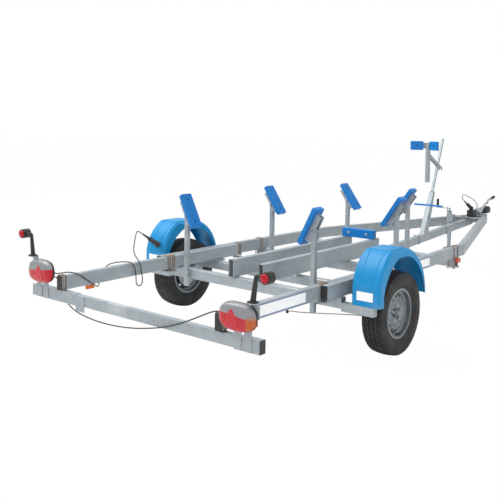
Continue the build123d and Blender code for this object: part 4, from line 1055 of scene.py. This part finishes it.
def clampSpine(build, x):
    rearX, rearTop = nose["spineRear"]
    top = rearTop + nose["spineSlope"] * (x - rearX)
    half, rod = nose["spineHalf"], nose["spineRod"]
    for y in (-half, half):
        build.tube([at(x, y, top - 82), at(x, y, top + 4)], rod, 8, 0)
        build.bolt(at(x, y, top + 1), (0, 0, 1), 0.014, 0)
    for z in (top + nose["spineRodTop"], top - nose["spineRodFoot"]):
        build.tube([at(x, -half, z), at(x, half, z)], rod, 8, 0)


def makeNoseFittings():
    build = Build()
    for x, spread, top in nose["housingBolts"]:
        for side in (1, -1):
            build.bolt(at(x, side * spread, top), (0, 0, 1), 0.019, 1)
    for x, y in nose["railBolts"]:
        for side in (1, -1):
            build.bolt(at(x, side * y, nose["railBoltZ"]), (0, 0, 1), 0.017, 0)
    for z in nose["clampZ"]:
        for x in nose["clampX"]:
            build.bolt(at(x, nose["clampY"], z), (0, 1, 0), 0.016, 0)
    build.tube([at(*place) for place in nose["handle"]], 0.006, 10, 0)
    build.turned(at(*nose["handleBoss"]), (1, 1, 1), [(0, 0.007), (0.016, 0.007)], 12, 0)
    for x in nose["spineClamps"]:
        clampSpine(build, x)
    for x, z in nose["bowPins"]:
        for side in (1, -1):
            build.bolt(at(x, side * nose["bowPinY"], z), (0, side, 0), 0.015, 0)
    piece = build.make("nose_fittings", [steel, zinc])
    latch = Build()
    latch.tube([at(*place) for place in nose["latch"]], 0.010, 12)
    latch.turned(at(*nose["latchFoot"]), (0, 0, 1), [(0, 0.020), (0.030, 0.018), (0.036, 0.012)], 20)
    for x in nose["bands"]:
        latch.turned(at(x, 0, nose["bandZ"]), (1, 0, 0), [(0, 0.0315), (0.006, 0.0315)], 28)
    handle = latch.make("coupling_latch", [blackPlastic])


makeNoseFittings()
print("fittings made")

# Stage, world and lamps
studio = {
    "floorSize": 60.0,
    "floorColour": (0.80, 0.80, 0.80, 1.0),
    "floorGlow": 0.985,
    "floorDrop": 0.001,
    "worldLow": 0.42,
    "worldHigh": 1.15,
    "keyPower": 520.0,
    "keySize": 6.0,
    "keyPlace": (-3.0, 3.5, 7.0),
    "fillPower": 90.0,
    "fillSize": 4.0,
    "fillPlace": (-6.0, -6.0, 4.0),
    "target": (0, 0, 0.4),
}


def makeStage():
    mesh = bpy.data.meshes.new("floor")
    half = studio["floorSize"]
    corners = [(-half, -half, 0), (half, -half, 0), (half, half, 0), (-half, half, 0)]
    mesh.from_pydata(corners, [], [(0, 1, 2, 3)])
    shader = Shader("floorWhite")
    shader.set(Base_Color=studio["floorColour"], Roughness=0.9)
    rays = shader.tree.nodes.new("ShaderNodeLightPath")
    seen = Value(shader, rays.outputs["Is Camera Ray"])
    glow = shader.node("ShaderNodeEmission", None, {"Color": (1, 1, 1, 1), "Strength": 1.0})
    blend = shader.node("ShaderNodeMixShader", None, {0: seen * studio["floorGlow"]})
    mixNode = blend.socket.node
    shader.tree.links.new(shader.surface.outputs[0], mixNode.inputs[1])
    shader.tree.links.new(glow.socket, mixNode.inputs[2])
    output = shader.tree.nodes["Material Output"]
    shader.tree.links.new(blend.socket, output.inputs["Surface"])
    mesh.materials.append(shader.material)
    floor = bpy.data.objects.new("floor", mesh)
    bpy.context.collection.objects.link(floor)
    floor.location.z = -studio["floorDrop"]


def makeWorld():
    world = bpy.data.worlds.new("studio")
    bpy.context.scene.world = world
    world.use_nodes = True
    tree = world.node_tree
    background = tree.nodes["Background"]
    rays = tree.nodes.new("ShaderNodeLightPath")
    direct = tree.nodes.new("ShaderNodeMath")
    direct.operation = "MAXIMUM"
    tree.links.new(rays.outputs["Is Camera Ray"], direct.inputs[0])
    tree.links.new(rays.outputs["Is Transmission Ray"], direct.inputs[1])
    where = tree.nodes.new("ShaderNodeTexCoord")
    split = tree.nodes.new("ShaderNodeSeparateXYZ")
    tree.links.new(where.outputs["Generated"], split.inputs[0])
    sky = tree.nodes.new("ShaderNodeMapRange")
    sky.inputs[1].default_value = -0.2
    sky.inputs[3].default_value = studio["worldLow"]
    sky.inputs[4].default_value = studio["worldHigh"]
    tree.links.new(split.outputs[2], sky.inputs[0])
    strength = tree.nodes.new("ShaderNodeMapRange")
    strength.inputs[4].default_value = 1.0
    tree.links.new(sky.outputs[0], strength.inputs[3])
    tree.links.new(direct.outputs[0], strength.inputs[0])
    tree.links.new(strength.outputs[0], background.inputs["Strength"])
    background.inputs["Color"].default_value = (1.0, 1.0, 1.0, 1.0)


def makeLight(name):
    light = bpy.data.lights.new(f"{name}Light", "AREA")
    light.energy = studio[f"{name}Power"]
    light.shape = "DISK"
    light.size = studio[f"{name}Size"]
    holder = bpy.data.objects.new(f"{name}Light", light)
    bpy.context.collection.objects.link(holder)
    holder.location = studio[f"{name}Place"]
    aim = Vector(studio["target"]) - Vector(studio[f"{name}Place"])
    holder.rotation_euler = aim.to_track_quat("-Z", "Y").to_euler()


makeStage()
makeWorld()
for lightName in ("key", "fill"):
    makeLight(lightName)
bpy.context.scene.view_settings.view_transform = "Standard"
